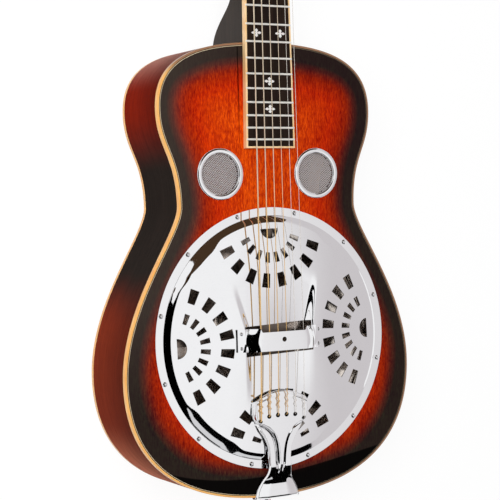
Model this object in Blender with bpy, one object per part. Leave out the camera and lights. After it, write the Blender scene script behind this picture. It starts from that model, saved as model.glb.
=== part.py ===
"""Square-neck resonator guitar lying on its back.

Metres, +Z out of the face, +Y towards the headstock, +X towards the treble side. The origin is on the
flat of the back, straight under the saddle line from which the scale length is measured.
"""
import math

import bmesh
import bpy
import numpy as np
from mathutils import Vector
from mathutils.geometry import interpolate_bezier

# Gap left between pieces that touch
CLEARANCE = 0.0003

# Sides of round pieces, by size
LARGE_STEPS = 36
ROUND_STEPS = 24
SMALL_STEPS = 10

# Sound body
BODY_DEPTH = 0.088
TAIL_REACH = 0.178
BODY_LENGTH = 0.4955
UPPER_BOUT_WIDTH = 0.2652
UPPER_BOUT_Y = 0.2451
WAIST_WIDTH = 0.2198
WAIST_Y = 0.1411
LOWER_BOUT_WIDTH = 0.3558
LOWER_BOUT_Y = -0.0401
TOP_THICK = 0.004
BACK_THICK = 0.0035
SIDE_THICK = 0.0028
BINDING_WIDTH = 0.0022
BINDING_HEIGHT = 0.0055
LINING_WIDTH = 0.007
LINING_HEIGHT = 0.014
NECK_BLOCK_WIDTH = 0.076
NECK_BLOCK_LENGTH = 0.044
TAIL_BLOCK_WIDTH = 0.062
TAIL_BLOCK_SHARE = 0.77
BRACE_WIDTH = 0.008
BRACE_HEIGHT = 0.011
BRACE_SHARE = 0.92

# Sound-hole screens
SCREEN_X = 0.060
SCREEN_Y = 0.175
SCREEN_RING_RADIUS = 0.0279
SCREEN_MESH_RADIUS = 0.0222
SCREEN_SKIRT = 0.0020
SCREEN_RING_HEIGHT = 0.0014
SCREEN_SKIRT_DEPTH = 0.0030
SCREEN_MESH_THICK = 0.0008

# Resonator
RESONATOR_Y = -0.0042
CONE_RADIUS = 0.1332
CONE_RIM_WIDTH = 0.0065
CONE_SHEET = 0.0008
CONE_RIM_DEPTH = 0.0085
CONE_VALLEY_RADIUS = 0.055
CONE_VALLEY_DEPTH = 0.028
CONE_PEAK_RISE = 0.014
WELL_WALL = 0.0125
WELL_LIP = 0.0048
WELL_PORTS = 8
WELL_PORT_WIDTH = 0.056
WELL_PORT_HEIGHT = 0.036
SPIDER_LEGS = 8
SPIDER_HUB_RADIUS = 0.021
SPIDER_LEG_WIDTH = 0.0062
SPIDER_LEG_HEIGHT = 0.0050
SPIDER_ARCH = 0.0055
SPIDER_FOOT_INSET = 0.0030
SADDLE_BAR_LENGTH = 0.067
SADDLE_BAR_WIDTH = 0.0105
SADDLE_BAR_HEIGHT = 0.0095
SADDLE_THICK = 0.0032
SADDLE_SPLIT = 0.0062
SADDLE_END_MARGIN = 0.0035
SADDLE_SLOT_DEPTH = 0.0080
SCREW_HEAD_RADIUS = 0.0024
SCREW_HEAD_HEIGHT = 0.0024
SCREW_SHANK_RADIUS = 0.0015
SCREW_TIP_BELOW_PEAK = 0.0035

# Coverplate
PLATE_RADIUS = 0.1425
PLATE_SHEET = 0.0010
PLATE_FLANGE = 0.0095
PLATE_WALL = 0.0090
PLATE_SHOULDER = 0.0046
PLATE_CROWN = 0.0160
PLATE_RIDGE_HALF = 0.037
PLATE_FALL_POWER = 1.3
PLATE_TURN = math.radians(2.1)
PLATE_OPENING_LENGTH = 0.068
PLATE_OPENING_WIDTH = 0.0175
FANS = 4
FAN_CENTRE_RADIUS = 0.121
FAN_SLOTS = 8
FAN_PITCH = math.radians(19.0)
INNER_ARC_RADIUS = 0.033
INNER_SLOT_WIDTH = 0.0052
INNER_SLOT_LENGTH = 0.0112
OUTER_ARC_RADIUS = 0.058
OUTER_SLOT_WIDTH = 0.0092
OUTER_SLOT_LENGTH = 0.0155
SLOT_TAPER = 0.12
MOON_RADIUS = 0.0108
MOON_FLAT_RADIUS = 0.1195

# Palm rest
PALM_SHEET = 0.0020
PALM_RISE = 0.0270
PALM_TOP_HALF = 0.030
PALM_FOOT_INNER = 0.0435
PALM_FOOT_OUTER = 0.0530
PALM_TAIL_EDGE = -0.0120
PALM_NECK_EDGE = 0.0110
PALM_WAIST_EDGE = 0.0075
PALM_NOTCH_HALF = 0.034
PALM_HOLE_RADIUS = 0.0021

# Neck and fretboard
SCALE_LENGTH = 0.635
FRETS = 19
FRETBOARD_OVERHANG = 0.0095
FRETBOARD_THICK = 0.0065
FRET_WIDTH = 0.0022
FRET_CROWN = 0.0010
FRET_HEIGHT = 0.0010
NUT_WIDTH = 0.0476
NUT_THICK = 0.0060
NECK_TAPER = 0.0309
FRETBOARD_BINDING = 0.0020
NECK_DEPTH = 0.030
NECK_CORNER = 0.006
HEEL_LENGTH = 0.054
HEEL_DEPTH = 0.084
HEEL_SLIMMING = 0.20
HEEL_SWELL = 0.004
HEEL_STATIONS = 9

# Headstock
HEAD_ANGLE = math.radians(14.0)
HEAD_LENGTH = 0.178
HEAD_WIDTH = 0.072
HEAD_TIP_WIDTH = 0.066
HEAD_THICK = 0.015
HEAD_ROOT = 0.012
VENEER_THICK = 0.0015

# Tuners
TUNERS_PER_SIDE = 3
TUNER_FIRST = 0.040
TUNER_SPACING = 0.042
POST_X = 0.022
POST_RADIUS = 0.0030
POST_WAIST_RADIUS = 0.0028
POST_TOP = 0.016
POST_BEVEL = 0.0006
POST_GROOVE_SLOPE = 0.001
POST_GROOVE_BOTTOM = 0.0055
POST_GROOVE_TOP = 0.0135
HOUSING_INNER = 0.0085
HOUSING_OUTER = 0.0090
HOUSING_NEAR = 0.0125
HOUSING_FAR = 0.0085
HOUSING_DEPTH = 0.0110
HOUSING_CORNER = 0.0030
SHAFT_OFFSET = 0.0068
SHAFT_RADIUS = 0.0020
SHAFT_INNER = 0.0065
SHAFT_COLLAR = 0.001
BUTTON_START = 0.0180
BUTTON_LENGTH = 0.0155
BUTTON_HALF_WIDTH = 0.0105
BUTTON_HALF_THICK = 0.0050

# Tailpiece and end pin
TAILPIECE_SHEET = 0.0016
TAILPIECE_FRONT = 0.060
TAILPIECE_RISE = 0.0165
TAILPIECE_HEAD_HALF = 0.0347
TAILPIECE_NECK_HALF = 0.0146
TAILPIECE_FOOT_HALF = 0.0270
TAILPIECE_RIB = 0.0024
TAILPIECE_RIM = 0.0055
TAILPIECE_BOW = 0.012
TAILPIECE_SHOULDER = 0.008
TAILPIECE_HIGH_STEP = 0.0020
TAILPIECE_LOW_STEP = 0.0016
TAILPIECE_TAB_SHOULDER = 0.006
TAILPIECE_TAB_WAIST = 0.016
TAILPIECE_TAB_DROP = 0.036
BALL_HOLE_REACH = 0.0870
BALL_HOLE_RADIUS = 0.0022
END_PIN_DROP = 0.026
END_PIN_SHANK = 0.0032
END_PIN_HEAD = 0.0068
END_PIN_LENGTH = 0.0095
END_PIN_COLLAR = 0.0015

# Strings, lowest first
STRING_DIAMETERS = (0.00142, 0.00117, 0.00091, 0.00068, 0.00048, 0.00043)
WOUND_STRINGS = 4
NUT_SPREAD = 0.0446
SADDLE_SPREAD = 0.0536
BALL_SPREAD = 0.0540
NUT_STRING_RISE = 0.0165
SADDLE_STRING_RISE = 0.0203
STRING_NOTCH = 0.0004
STRING_TURNS = 2
STRING_TURN_POINTS = 12
STRING_TURN_GAP = 0.00046
STRING_WRAP_TOP = 0.0115
BALL_END_RADIUS = 0.0019
BALL_END_LENGTH = 0.0030

TOP_Z = BODY_DEPTH
TAIL_Y = -TAIL_REACH
JOINT_Y = BODY_LENGTH - TAIL_REACH
NUT_BACK_Y = SCALE_LENGTH + NUT_THICK + CLEARANCE
BOARD_TOP_Z = TOP_Z + CLEARANCE + FRETBOARD_THICK


# Finishes: base colour, roughness, metallic
FINISHES = {
    "burst_top": ((0.42, 0.055, 0.012), 0.12, 0.0),
    "burst_side": ((0.10, 0.020, 0.010), 0.15, 0.0),
    "cream_binding": ((0.72, 0.45, 0.18), 0.30, 0.0),
    "raw_wood": ((0.50, 0.33, 0.18), 0.60, 0.0),
    "dark_neck": ((0.035, 0.022, 0.016), 0.25, 0.0),
    "rosewood": ((0.045, 0.026, 0.018), 0.45, 0.0),
    "maple": ((0.66, 0.47, 0.27), 0.45, 0.0),
    "bone": ((0.82, 0.76, 0.62), 0.35, 0.0),
    "chrome": ((0.86, 0.86, 0.87), 0.05, 1.0),
    "spun_aluminium": ((0.74, 0.75, 0.76), 0.30, 1.0),
    "cast_aluminium": ((0.62, 0.63, 0.64), 0.42, 1.0),
    "screen_wire": ((0.36, 0.36, 0.36), 0.45, 1.0),
    "steel": ((0.70, 0.70, 0.70), 0.25, 1.0),
    "bronze_winding": ((0.72, 0.42, 0.16), 0.30, 1.0),
}


def finish(name):
    """The named finish as a material, made once."""
    material = bpy.data.materials.get(name)
    if material is None:
        colour, roughness, metallic = FINISHES[name]
        material = bpy.data.materials.new(name)
        material.use_nodes = True
        shader = material.node_tree.nodes["Principled BSDF"]
        shader.inputs["Base Color"].default_value = (*colour, 1.0)
        shader.inputs["Roughness"].default_value = roughness
        shader.inputs["Metallic"].default_value = metallic
    return material


def place(item, parent=None, location=(0.0, 0.0, 0.0), turn=0.0):
    """Links an object to the scene under its parent, at a place and a turn about its own Z."""
    bpy.context.scene.collection.objects.link(item)
    item.parent = parent
    item.location = location
    item.rotation_euler[2] = turn
    return item


def solid(name, points, faces, look=None, parent=None, location=(0.0, 0.0, 0.0), turn=0.0):
    """A mesh object from points and faces, with its normals pointing out. Without a look it is a cutter."""
    mesh = bpy.data.meshes.new(name)
    mesh.from_pydata([tuple(point) for point in points], [], faces)
    shape = bmesh.new()
    shape.from_mesh(mesh)
    bmesh.ops.recalc_face_normals(shape, faces=shape.faces)
    shape.to_mesh(mesh)
    shape.free()
    mesh.shade_smooth()
    mesh.set_sharp_from_angle(angle=math.radians(35))
    item = place(bpy.data.objects.new(name, mesh), parent, location, turn)
    if look is None:
        item.hide_render = True
        item.display_type = "WIRE"
    else:
        mesh.materials.append(finish(look))
    return item


def loft(name, loops, look=None, ring=False, **where):
    """A closed body through loops of equal count, capped at both ends or joined into a ring."""
    count = len(loops[0])
    faces = []
    for i in range(len(loops) if ring else len(loops) - 1):
        low = i * count
        high = (i + 1) % len(loops) * count
        for j in range(count):
            k = (j + 1) % count
            faces.append((low + j, low + k, high + k, high + j))
    if not ring:
        faces.append(tuple(range(count)))
        faces.append(tuple(range((len(loops) - 1) * count, len(loops) * count)))
    points = [point for loop in loops for point in loop]
    return solid(name, points, faces, look, **where)


def level(outline, z):
    """A flat outline lifted to a height."""
    return [(x, y, z) for x, y in outline]


def prism(name, outline, low, high, look=None, **where):
    """An outline carried from one height to another."""
    return loft(name, [level(outline, low), level(outline, high)], look, **where)


def circle(radius, steps, centre=(0.0, 0.0)):
    """Points of a circle, counter-clockwise."""
    angles = [2 * math.pi * i / steps for i in range(steps)]
    return [(centre[0] + radius * math.cos(a), centre[1] + radius * math.sin(a)) for a in angles]


def turned(name, profile, steps, look=None, ring=False, **where):
    """A body turned about its own Z from (radius, height) pairs."""
    return loft(name, [level(circle(r, steps), z) for r, z in profile], look, ring, **where)


def combine(target, other, operation):
    """A Boolean of a hidden form on a target."""
    modifier = target.modifiers.new(operation.lower(), "BOOLEAN")
    modifier.operation = operation
    modifier.object = other
    modifier.solver = "EXACT"


def cut(target, cutter):
    """Takes a cutter out of a target."""
    combine(target, cutter, "DIFFERENCE")


def fuse(target, addition):
    """Adds a hidden form to a target."""
    combine(target, addition, "UNION")


def bezier(start, first, second, end, count):
    """Points along one cubic curve in the plane."""
    corners = [Vector((*point, 0.0)) for point in (start, first, second, end)]
    return [(point.x, point.y) for point in interpolate_bezier(*corners, count)]


def body_half(inset=0.0):
    """Treble half of the body's outline from tail to neck, moved inwards by an inset."""
    upper, waist, lower = UPPER_BOUT_WIDTH / 2, WAIST_WIDTH / 2, LOWER_BOUT_WIDTH / 2
    tail_run = LOWER_BOUT_Y - TAIL_Y
    hip_run = WAIST_Y - LOWER_BOUT_Y
    chest_run = UPPER_BOUT_Y - WAIST_Y
    shoulder_run = JOINT_Y - UPPER_BOUT_Y
    spans = (
        ((0, TAIL_Y), (0.623 * lower, TAIL_Y), (lower, LOWER_BOUT_Y - 0.663 * tail_run),
         (lower, LOWER_BOUT_Y), 10),
        ((lower, LOWER_BOUT_Y), (lower, LOWER_BOUT_Y + 0.447 * hip_run), (waist, WAIST_Y - 0.163 * hip_run),
         (waist, WAIST_Y), 9),
        ((waist, WAIST_Y), (waist, WAIST_Y + 0.528 * chest_run), (upper, UPPER_BOUT_Y - 0.403 * chest_run),
         (upper, UPPER_BOUT_Y), 7),
        ((upper, UPPER_BOUT_Y), (upper, UPPER_BOUT_Y + 0.763 * shoulder_run), (0.615 * upper, JOINT_Y),
         (0, JOINT_Y), 9),
    )
    points = []
    for start, first, second, end, count in spans:
        points += bezier(start, first, second, end, count)[:-1]
    points = np.array(points + [(0.0, JOINT_Y)])
    along = np.gradient(points, axis=0)
    along[[0, -1], 1] = 0.0
    outward = np.stack([along[:, 1], -along[:, 0]], axis=1)
    outward /= np.linalg.norm(outward, axis=1, keepdims=True)
    return points - inset * outward


def outline_y(x, at_neck):
    """Place of the body's edge at a distance from the centre line, at its neck end or its tail."""
    half = body_half()
    span = half[half[:, 1] > UPPER_BOUT_Y][::-1] if at_neck else half[half[:, 1] < LOWER_BOUT_Y]
    return float(np.interp(x, span[:, 0], span[:, 1]))


def body_outline(inset=0.0):
    """Whole outline of the body, counter-clockwise from the tail."""
    treble = body_half(inset)
    bass = treble[-2:0:-1] * (-1, 1)
    return [tuple(point) for point in np.concatenate([treble, bass])]


def strip_edge(inset, stops, side):
    """One edge of a bent strip along a half of the body, cut short by a half width at tail and neck."""
    half = body_half(inset)
    limits = np.where(half[:, 1] < WAIST_Y, *stops)
    inside = half[:, 0] > limits
    kept = half[inside]
    before, after = half[~inside & (half[:, 1] < WAIST_Y)][-1], half[~inside & (half[:, 1] > WAIST_Y)][0]
    first = (stops[0], np.interp(stops[0], (0.0, kept[0, 0]), (before[1], kept[0, 1])))
    last = (stops[1], np.interp(stops[1], (0.0, kept[-1, 0]), (after[1], kept[-1, 1])))
    return np.concatenate([[first], kept, [last]]) * (side, 1)


def strip_solid(name, inset, width, stops, side, heights, look):
    """A bent strip such as a side or a lining, with closed ends."""
    low, high = heights
    outer, inner = strip_edge(inset, stops, side), strip_edge(inset + width, stops, side)
    loops = [[(*out, low), (*back, low), (*back, high), (*out, high)] for out, back in zip(outer, inner)]
    return loft(name, loops, look)


def sound_body():
    """Soundboard, back, sides, bindings, linings, blocks and braces."""
    plate_inset = BINDING_WIDTH + CLEARANCE
    lining_inset = SIDE_THICK + CLEARANCE
    under_top = TOP_Z - TOP_THICK - CLEARANCE
    over_back = BACK_THICK + CLEARANCE
    seam = CLEARANCE / 2

    soundboard = prism("soundboard", body_outline(plate_inset), TOP_Z - TOP_THICK, TOP_Z, "burst_top")
    well_hole = prism("resonator_hole", circle(well_mouth_radius(), LARGE_STEPS, (0.0, RESONATOR_Y)),
                      TOP_Z - 2 * TOP_THICK, TOP_Z + TOP_THICK)
    cut(soundboard, well_hole)
    for side, label in ((-1, "bass"), (1, "treble")):
        rim = circle(screen_hole_radius(), ROUND_STEPS, (side * SCREEN_X, SCREEN_Y))
        hole = prism(f"sound_hole_{label}", rim, TOP_Z - 2 * TOP_THICK, TOP_Z + TOP_THICK)
        cut(soundboard, hole)

    prism("back_plate", body_outline(plate_inset), 0.0, BACK_THICK, "burst_side")
    pin_hole = end_pin_cutter("end_pin_hole_body")
    for side, label in ((-1, "bass"), (1, "treble")):
        wall = strip_solid(f"side_{label}", 0.0, SIDE_THICK, (seam, seam), side,
                           (BINDING_HEIGHT + CLEARANCE, TOP_Z - BINDING_HEIGHT - CLEARANCE), "burst_side")
        cut(wall, pin_hole)
        stops = (TAIL_BLOCK_WIDTH / 2 + CLEARANCE, NECK_BLOCK_WIDTH / 2 + CLEARANCE)
        strip_solid(f"top_lining_{label}", lining_inset, LINING_WIDTH, stops, side,
                    (under_top - LINING_HEIGHT, under_top), "raw_wood")
        strip_solid(f"back_lining_{label}", lining_inset, LINING_WIDTH, stops, side,
                    (over_back, over_back + LINING_HEIGHT), "raw_wood")

    for name, low, high in (("top_binding", TOP_Z - BINDING_HEIGHT, TOP_Z),
                            ("back_binding", CLEARANCE, BINDING_HEIGHT)):
        outer = body_outline()
        inner = body_outline(BINDING_WIDTH)
        loft(name, [level(outer, low), level(inner, low), level(inner, high), level(outer, high)],
             "cream_binding", ring=True)

    block_front = outline_y(NECK_BLOCK_WIDTH / 2, True) - lining_inset
    block_back = block_front - NECK_BLOCK_LENGTH
    neck_end = box_outline(NECK_BLOCK_WIDTH, block_back, block_front)
    prism("neck_block", neck_end, over_back, under_top, "raw_wood")
    tail_block = prism("tail_block", box_outline(TAIL_BLOCK_WIDTH, *tail_block_span()), over_back, under_top,
                       "raw_wood")
    cut(tail_block, pin_hole)

    brace_y = (SCREEN_Y + SCREEN_RING_RADIUS + block_back) / 2
    clear_half = body_half(lining_inset + LINING_WIDTH)
    above_waist = clear_half[clear_half[:, 1] > WAIST_Y]
    brace_length = 2 * BRACE_SHARE * float(np.interp(brace_y, above_waist[:, 1], above_waist[:, 0]))
    brace = box_outline(brace_length, brace_y - BRACE_WIDTH / 2, brace_y + BRACE_WIDTH / 2)
    prism("top_brace", brace, under_top - BRACE_HEIGHT, under_top, "raw_wood")
    prism("back_brace", brace, over_back, over_back + BRACE_HEIGHT, "raw_wood")


def tail_block_span():
    """Tail and front ends of the tail block, which fills a share of the room behind the soundwell."""
    tail = outline_y(TAIL_BLOCK_WIDTH / 2, False) + SIDE_THICK + CLEARANCE
    room = RESONATOR_Y - well_outer_radius() - tail
    return tail, tail + TAIL_BLOCK_SHARE * room


def well_outer_radius():
    """Outer radius of the soundwell's wall."""
    return CONE_RADIUS - CONE_RIM_WIDTH + WELL_WALL


def box_outline(width, low, high):
    """A rectangle across the centre line."""
    return [(-width / 2, low), (width / 2, low), (width / 2, high), (-width / 2, high)]


def well_mouth_radius():
    """Radius of the round opening in the soundboard, clear of the cone's rim."""
    return CONE_RADIUS + 2 * CLEARANCE


def screen_hole_radius():
    """Radius of a sound hole, clear of the screen ring's skirt."""
    return SCREEN_MESH_RADIUS + SCREEN_SKIRT + CLEARANCE


def screens():
    """Chrome rings and wire discs in the two sound holes."""
    low = TOP_Z - SCREEN_SKIRT_DEPTH
    seat = TOP_Z + CLEARANCE
    skirt = SCREEN_MESH_RADIUS + SCREEN_SKIRT
    crown = seat + SCREEN_RING_HEIGHT
    lip = (SCREEN_RING_RADIUS - skirt) / 3
    profile = ((skirt, low), (skirt, seat), (SCREEN_RING_RADIUS, seat),
               (SCREEN_RING_RADIUS - lip, crown), (SCREEN_MESH_RADIUS + lip, crown),
               (SCREEN_MESH_RADIUS, seat), (SCREEN_MESH_RADIUS, low))
    for side, label in ((-1, "bass"), (1, "treble")):
        where = {"location": (side * SCREEN_X, SCREEN_Y, 0.0)}
        turned(f"screen_ring_{label}", profile, ROUND_STEPS, "chrome", ring=True, **where)
        wire = SCREEN_MESH_RADIUS - CLEARANCE
        disc = ((wire, low), (wire, low + SCREEN_MESH_THICK))
        turned(f"screen_mesh_{label}", disc, ROUND_STEPS, "screen_wire", **where)


def cone_rim_z():
    """Height of the underside of the cone's rim."""
    return TOP_Z - CONE_RIM_DEPTH


def resonator():
    """Soundwell, spun cone, spider bridge, saddles and tension screw."""
    centre = {"location": (0.0, RESONATOR_Y, 0.0)}
    rim = cone_rim_z()
    well_inner = CONE_RADIUS - CONE_RIM_WIDTH
    well_outer = well_outer_radius()
    ledge = rim - CLEARANCE
    lip_radius = well_outer - WELL_LIP
    under_top = TOP_Z - TOP_THICK - CLEARANCE
    over_back = BACK_THICK + CLEARANCE
    well_profile = ((well_outer, over_back), (well_outer, under_top), (lip_radius, under_top),
                    (lip_radius, ledge), (well_inner, ledge), (well_inner, over_back))
    well = turned("soundwell", well_profile, LARGE_STEPS, "raw_wood", ring=True, **centre)
    port_middle = (over_back + ledge) / 2
    for i in range(WELL_PORTS // 2):
        angle = math.pi * (2 * i + 1) / WELL_PORTS
        across = [(-2 * well_outer, -WELL_PORT_WIDTH / 2), (2 * well_outer, -WELL_PORT_WIDTH / 2),
                  (2 * well_outer, WELL_PORT_WIDTH / 2), (-2 * well_outer, WELL_PORT_WIDTH / 2)]
        port = prism(f"well_port_{i + 1}", across, port_middle - WELL_PORT_HEIGHT / 2,
                     port_middle + WELL_PORT_HEIGHT / 2, turn=angle, **centre)
        cut(well, port)

    screw_hole = SCREW_SHANK_RADIUS + CLEARANCE
    valley = rim - CONE_VALLEY_DEPTH
    peak = valley + CONE_PEAK_RISE
    bend = CONE_RIM_WIDTH / 3
    middle = (
        (CONE_RADIUS, rim), (well_inner - bend, rim), (well_inner - 2 * bend, rim - 2 * bend),
        ((well_inner + CONE_VALLEY_RADIUS) / 2, (rim + valley) / 2),
        (CONE_VALLEY_RADIUS + bend, valley + bend / 2), (CONE_VALLEY_RADIUS - bend, valley + bend / 2),
        (CONE_VALLEY_RADIUS / 2, (valley + peak) / 2), (2 * screw_hole, peak), (screw_hole, peak),
    )
    upper = [(r, z + CONE_SHEET) for r, z in middle]
    turned("resonator_cone", upper + list(middle[::-1]), LARGE_STEPS, "spun_aluminium", ring=True, **centre)

    hub_low = rim + CONE_SHEET + CLEARANCE + SPIDER_ARCH
    bar_low = hub_low + SPIDER_LEG_HEIGHT
    bar_high = bar_low + SADDLE_BAR_HEIGHT
    spider = spider_star(rim + CONE_SHEET + CLEARANCE)
    bar = prism("saddle_bar", rounded_box(SADDLE_BAR_LENGTH, SADDLE_BAR_WIDTH, SADDLE_BAR_WIDTH / 3),
                hub_low + SPIDER_LEG_HEIGHT / 2, bar_high, **centre)
    fuse(spider, bar)
    slot_low = bar_high - SADDLE_SLOT_DEPTH
    slot = prism("saddle_slot", box_outline(2 * SADDLE_BAR_LENGTH, -SADDLE_THICK / 2 - CLEARANCE,
                                            SADDLE_THICK / 2 + CLEARANCE),
                 slot_low, bar_high + SADDLE_SLOT_DEPTH, **centre)
    cut(spider, slot)
    pocket = SCREW_HEAD_RADIUS + CLEARANCE
    cut(spider, turned("screw_way", ((screw_hole, valley), (screw_hole, slot_low), (pocket, slot_low),
                                     (pocket, bar_high + SADDLE_SLOT_DEPTH)), SMALL_STEPS, **centre))

    for side, label in ((-1, "bass"), (1, "treble")):
        saddle(f"saddle_{label}", side, slot_low + CLEARANCE)

    head_low = slot_low + CLEARANCE
    head_high = head_low + SCREW_HEAD_HEIGHT
    chamfer = SCREW_HEAD_HEIGHT / 5
    tip = peak - SCREW_TIP_BELOW_PEAK
    turned("tension_screw", ((SCREW_SHANK_RADIUS, tip), (SCREW_SHANK_RADIUS, head_low),
                             (SCREW_HEAD_RADIUS, head_low), (SCREW_HEAD_RADIUS, head_high - chamfer),
                             (SCREW_HEAD_RADIUS - chamfer, head_high)), SMALL_STEPS, "steel", **centre)


def spider_star(foot_z):
    """Cast bridge: a round hub with arched legs that stand on the cone's rim."""
    reach = CONE_RADIUS - SPIDER_FOOT_INSET
    radii = np.linspace(SPIDER_HUB_RADIUS, reach, 5)
    lift = SPIDER_ARCH * (1 - ((radii - SPIDER_HUB_RADIUS) / (reach - SPIDER_HUB_RADIUS)) ** 2)
    lean = math.asin(SPIDER_LEG_WIDTH / 2 / SPIDER_HUB_RADIUS)
    points, faces, hub_low, hub_high = [], [], [], []
    for leg in range(SPIDER_LEGS):
        heading = 2 * math.pi * leg / SPIDER_LEGS
        first = len(points)
        for radius, rise in zip(radii, lift):
            run = radius * math.cos(lean) if radius == radii[0] else radius
            for across in (-SPIDER_LEG_WIDTH / 2, SPIDER_LEG_WIDTH / 2):
                x = run * math.cos(heading) - across * math.sin(heading)
                y = run * math.sin(heading) + across * math.cos(heading)
                points.append((x, y, foot_z + rise))
                points.append((x, y, foot_z + rise + SPIDER_LEG_HEIGHT))
        hub_low += [first, first + 2]
        hub_high += [first + 1, first + 3]
        for i in range(len(radii) - 1):
            a = first + 4 * i
            b = a + 4
            faces += [(a, b, b + 2, a + 2), (a + 1, a + 3, b + 3, b + 1),
                      (a, a + 1, b + 1, b), (a + 2, b + 2, b + 3, a + 3)]
        faces.append((b, b + 1, b + 3, b + 2))
    for i in range(1, len(hub_low), 2):
        j = (i + 1) % len(hub_low)
        faces.append((hub_low[i], hub_low[j], hub_high[j], hub_high[i]))
    faces += [tuple(hub_low), tuple(hub_high)]
    return solid("spider_bridge", points, faces, "cast_aluminium", location=(0.0, RESONATOR_Y, 0.0))


def string_x(index, spread):
    """Sideways place of a string where the outer strings lie a spread apart."""
    last = len(STRING_DIAMETERS) - 1
    return spread * (index / last - 0.5)


def notched_top(indices, spread, ends, base_z, crest_z):
    """Outline of a nut or saddle across the strings, with a notch under each string."""
    outline = [(ends[0], base_z), (ends[1], base_z), (ends[1], crest_z)]
    for index in sorted(indices, reverse=True):
        x = string_x(index, spread)
        half = STRING_DIAMETERS[index] / 2 + CLEARANCE
        outline += [(x + half, crest_z), (x + half, crest_z - STRING_NOTCH),
                    (x - half, crest_z - STRING_NOTCH), (x - half, crest_z)]
    return outline + [(ends[0], crest_z)]


def saddle_crest_z():
    """Height of the saddles' top edge: the strings lie in notches below it."""
    return TOP_Z + SADDLE_STRING_RISE + STRING_NOTCH


def nut_crest_z():
    """Height of the nut's top edge."""
    return TOP_Z + NUT_STRING_RISE + STRING_NOTCH


def saddle(name, side, base_z):
    """One half of the split saddle."""
    half = len(STRING_DIAMETERS) // 2
    inner = SADDLE_SPLIT / 2
    outer = SADDLE_SPREAD / 2 + SADDLE_END_MARGIN
    indices = range(half) if side < 0 else range(half, 2 * half)
    ends = (-outer, -inner) if side < 0 else (inner, outer)
    outline = notched_top(indices, SADDLE_SPREAD, ends, base_z, saddle_crest_z())
    faces = [RESONATOR_Y - SADDLE_THICK / 2, RESONATOR_Y + SADDLE_THICK / 2]
    loft(name, [[(x, y, z) for x, z in outline] for y in faces], "maple")


def rounded_box(width, length, corner):
    """A rectangle about the origin with cut corners rounded by one middle point."""
    pull = corner * 0.29
    points = []
    for sx, sy in ((1, -1), (1, 1), (-1, 1), (-1, -1)):
        x, y = sx * width / 2, sy * length / 2
        along = [(x - sx * corner, y), (x - sx * pull, y - sy * pull), (x, y - sy * corner)]
        points += along if sx * sy < 0 else along[::-1]
    return points


def plate_rise(x, y):
    """Height of the coverplate's outer face over the soundboard, from the plate's centre.

    A flat crest of fixed half length runs across the plate under the palm rest. From it the dome falls
    by a power of the share of the way to the round shoulder, then a sloped wall drops to the flange.
    """
    flange_top = CLEARANCE + PLATE_SHEET
    wall_foot = PLATE_RADIUS - PLATE_FLANGE
    shoulder = wall_foot - PLATE_WALL
    radius = math.hypot(x, y)
    if radius >= shoulder:
        share = min(1.0, (radius - shoulder) / PLATE_WALL)
        return PLATE_SHOULDER + share * (flange_top - PLATE_SHOULDER)
    beyond = max(abs(x) - PLATE_RIDGE_HALF, 0.0)
    travel = math.hypot(beyond, y)
    if travel == 0.0:
        return PLATE_CROWN
    start = min(abs(x), PLATE_RIDGE_HALF)
    along = beyond / travel
    reach = -start * along + math.sqrt(shoulder ** 2 - (start * y / travel) ** 2)
    return PLATE_CROWN - (PLATE_CROWN - PLATE_SHOULDER) * (travel / reach) ** PLATE_FALL_POWER


def coverplate():
    """Pressed dome with a flange, a slot for the saddle and fans of slots."""
    wall_foot = PLATE_RADIUS - PLATE_FLANGE
    shoulder = wall_foot - PLATE_WALL
    radii = [shoulder * share for share in (0.18, 0.36, 0.55, 0.78, 1.0)]
    radii += [wall_foot, PLATE_RADIUS]
    loops = []
    for drop, rings in ((0.0, radii), (PLATE_SHEET, radii[::-1])):
        loops += [[(x, y, plate_rise(x, y) - drop) for x, y in circle(radius, LARGE_STEPS)]
                  for radius in rings]
    where = {"location": (0.0, RESONATOR_Y, TOP_Z), "turn": PLATE_TURN}
    plate = loft("coverplate", loops, "chrome", **where)
    opening = rounded_box(PLATE_OPENING_LENGTH, PLATE_OPENING_WIDTH, 0.2 * PLATE_OPENING_WIDTH)
    cut(plate, prism("saddle_opening", opening, -PLATE_CROWN, 2 * PLATE_CROWN, **where))

    points, faces = [], []
    for fan in range(FANS):
        heading = 2 * math.pi * fan / FANS
        for outline in fan_cuts():
            base = len(points)
            count = len(outline)
            for z in (-PLATE_CROWN, 2 * PLATE_CROWN):
                for x, y in outline:
                    points.append((x * math.cos(heading) - y * math.sin(heading),
                                   x * math.sin(heading) + y * math.cos(heading), z))
            for i in range(count):
                j = (i + 1) % count
                faces.append((base + i, base + j, base + count + j, base + count + i))
            faces += [tuple(range(base, base + count)), tuple(range(base + count, base + 2 * count))]
    cut(plate, solid("fan_slots", points, faces, **where))


def fan_cuts():
    """Outlines of one fan: two arcs of slots and a half moon, facing the plate's centre from +X."""
    outlines = []
    for radius, width, length in ((INNER_ARC_RADIUS, INNER_SLOT_WIDTH, INNER_SLOT_LENGTH),
                                  (OUTER_ARC_RADIUS, OUTER_SLOT_WIDTH, OUTER_SLOT_LENGTH)):
        for i in range(FAN_SLOTS):
            swing = math.pi + FAN_PITCH * (i - (FAN_SLOTS - 1) / 2)
            corners = []
            for end, across in ((-1, -1), (1, -1), (1, 1), (-1, 1)):
                run = radius + end * length / 2
                off = across * width / 2 * (1 + end * SLOT_TAPER)
                corners.append((FAN_CENTRE_RADIUS + run * math.cos(swing) - off * math.sin(swing),
                                run * math.sin(swing) + off * math.cos(swing)))
            outlines.append(corners)
    arc = [math.pi / 2 + math.pi * i / 8 for i in range(9)]
    outlines.append([(MOON_FLAT_RADIUS + MOON_RADIUS * math.cos(a), MOON_RADIUS * math.sin(a)) for a in arc])
    return outlines


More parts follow.
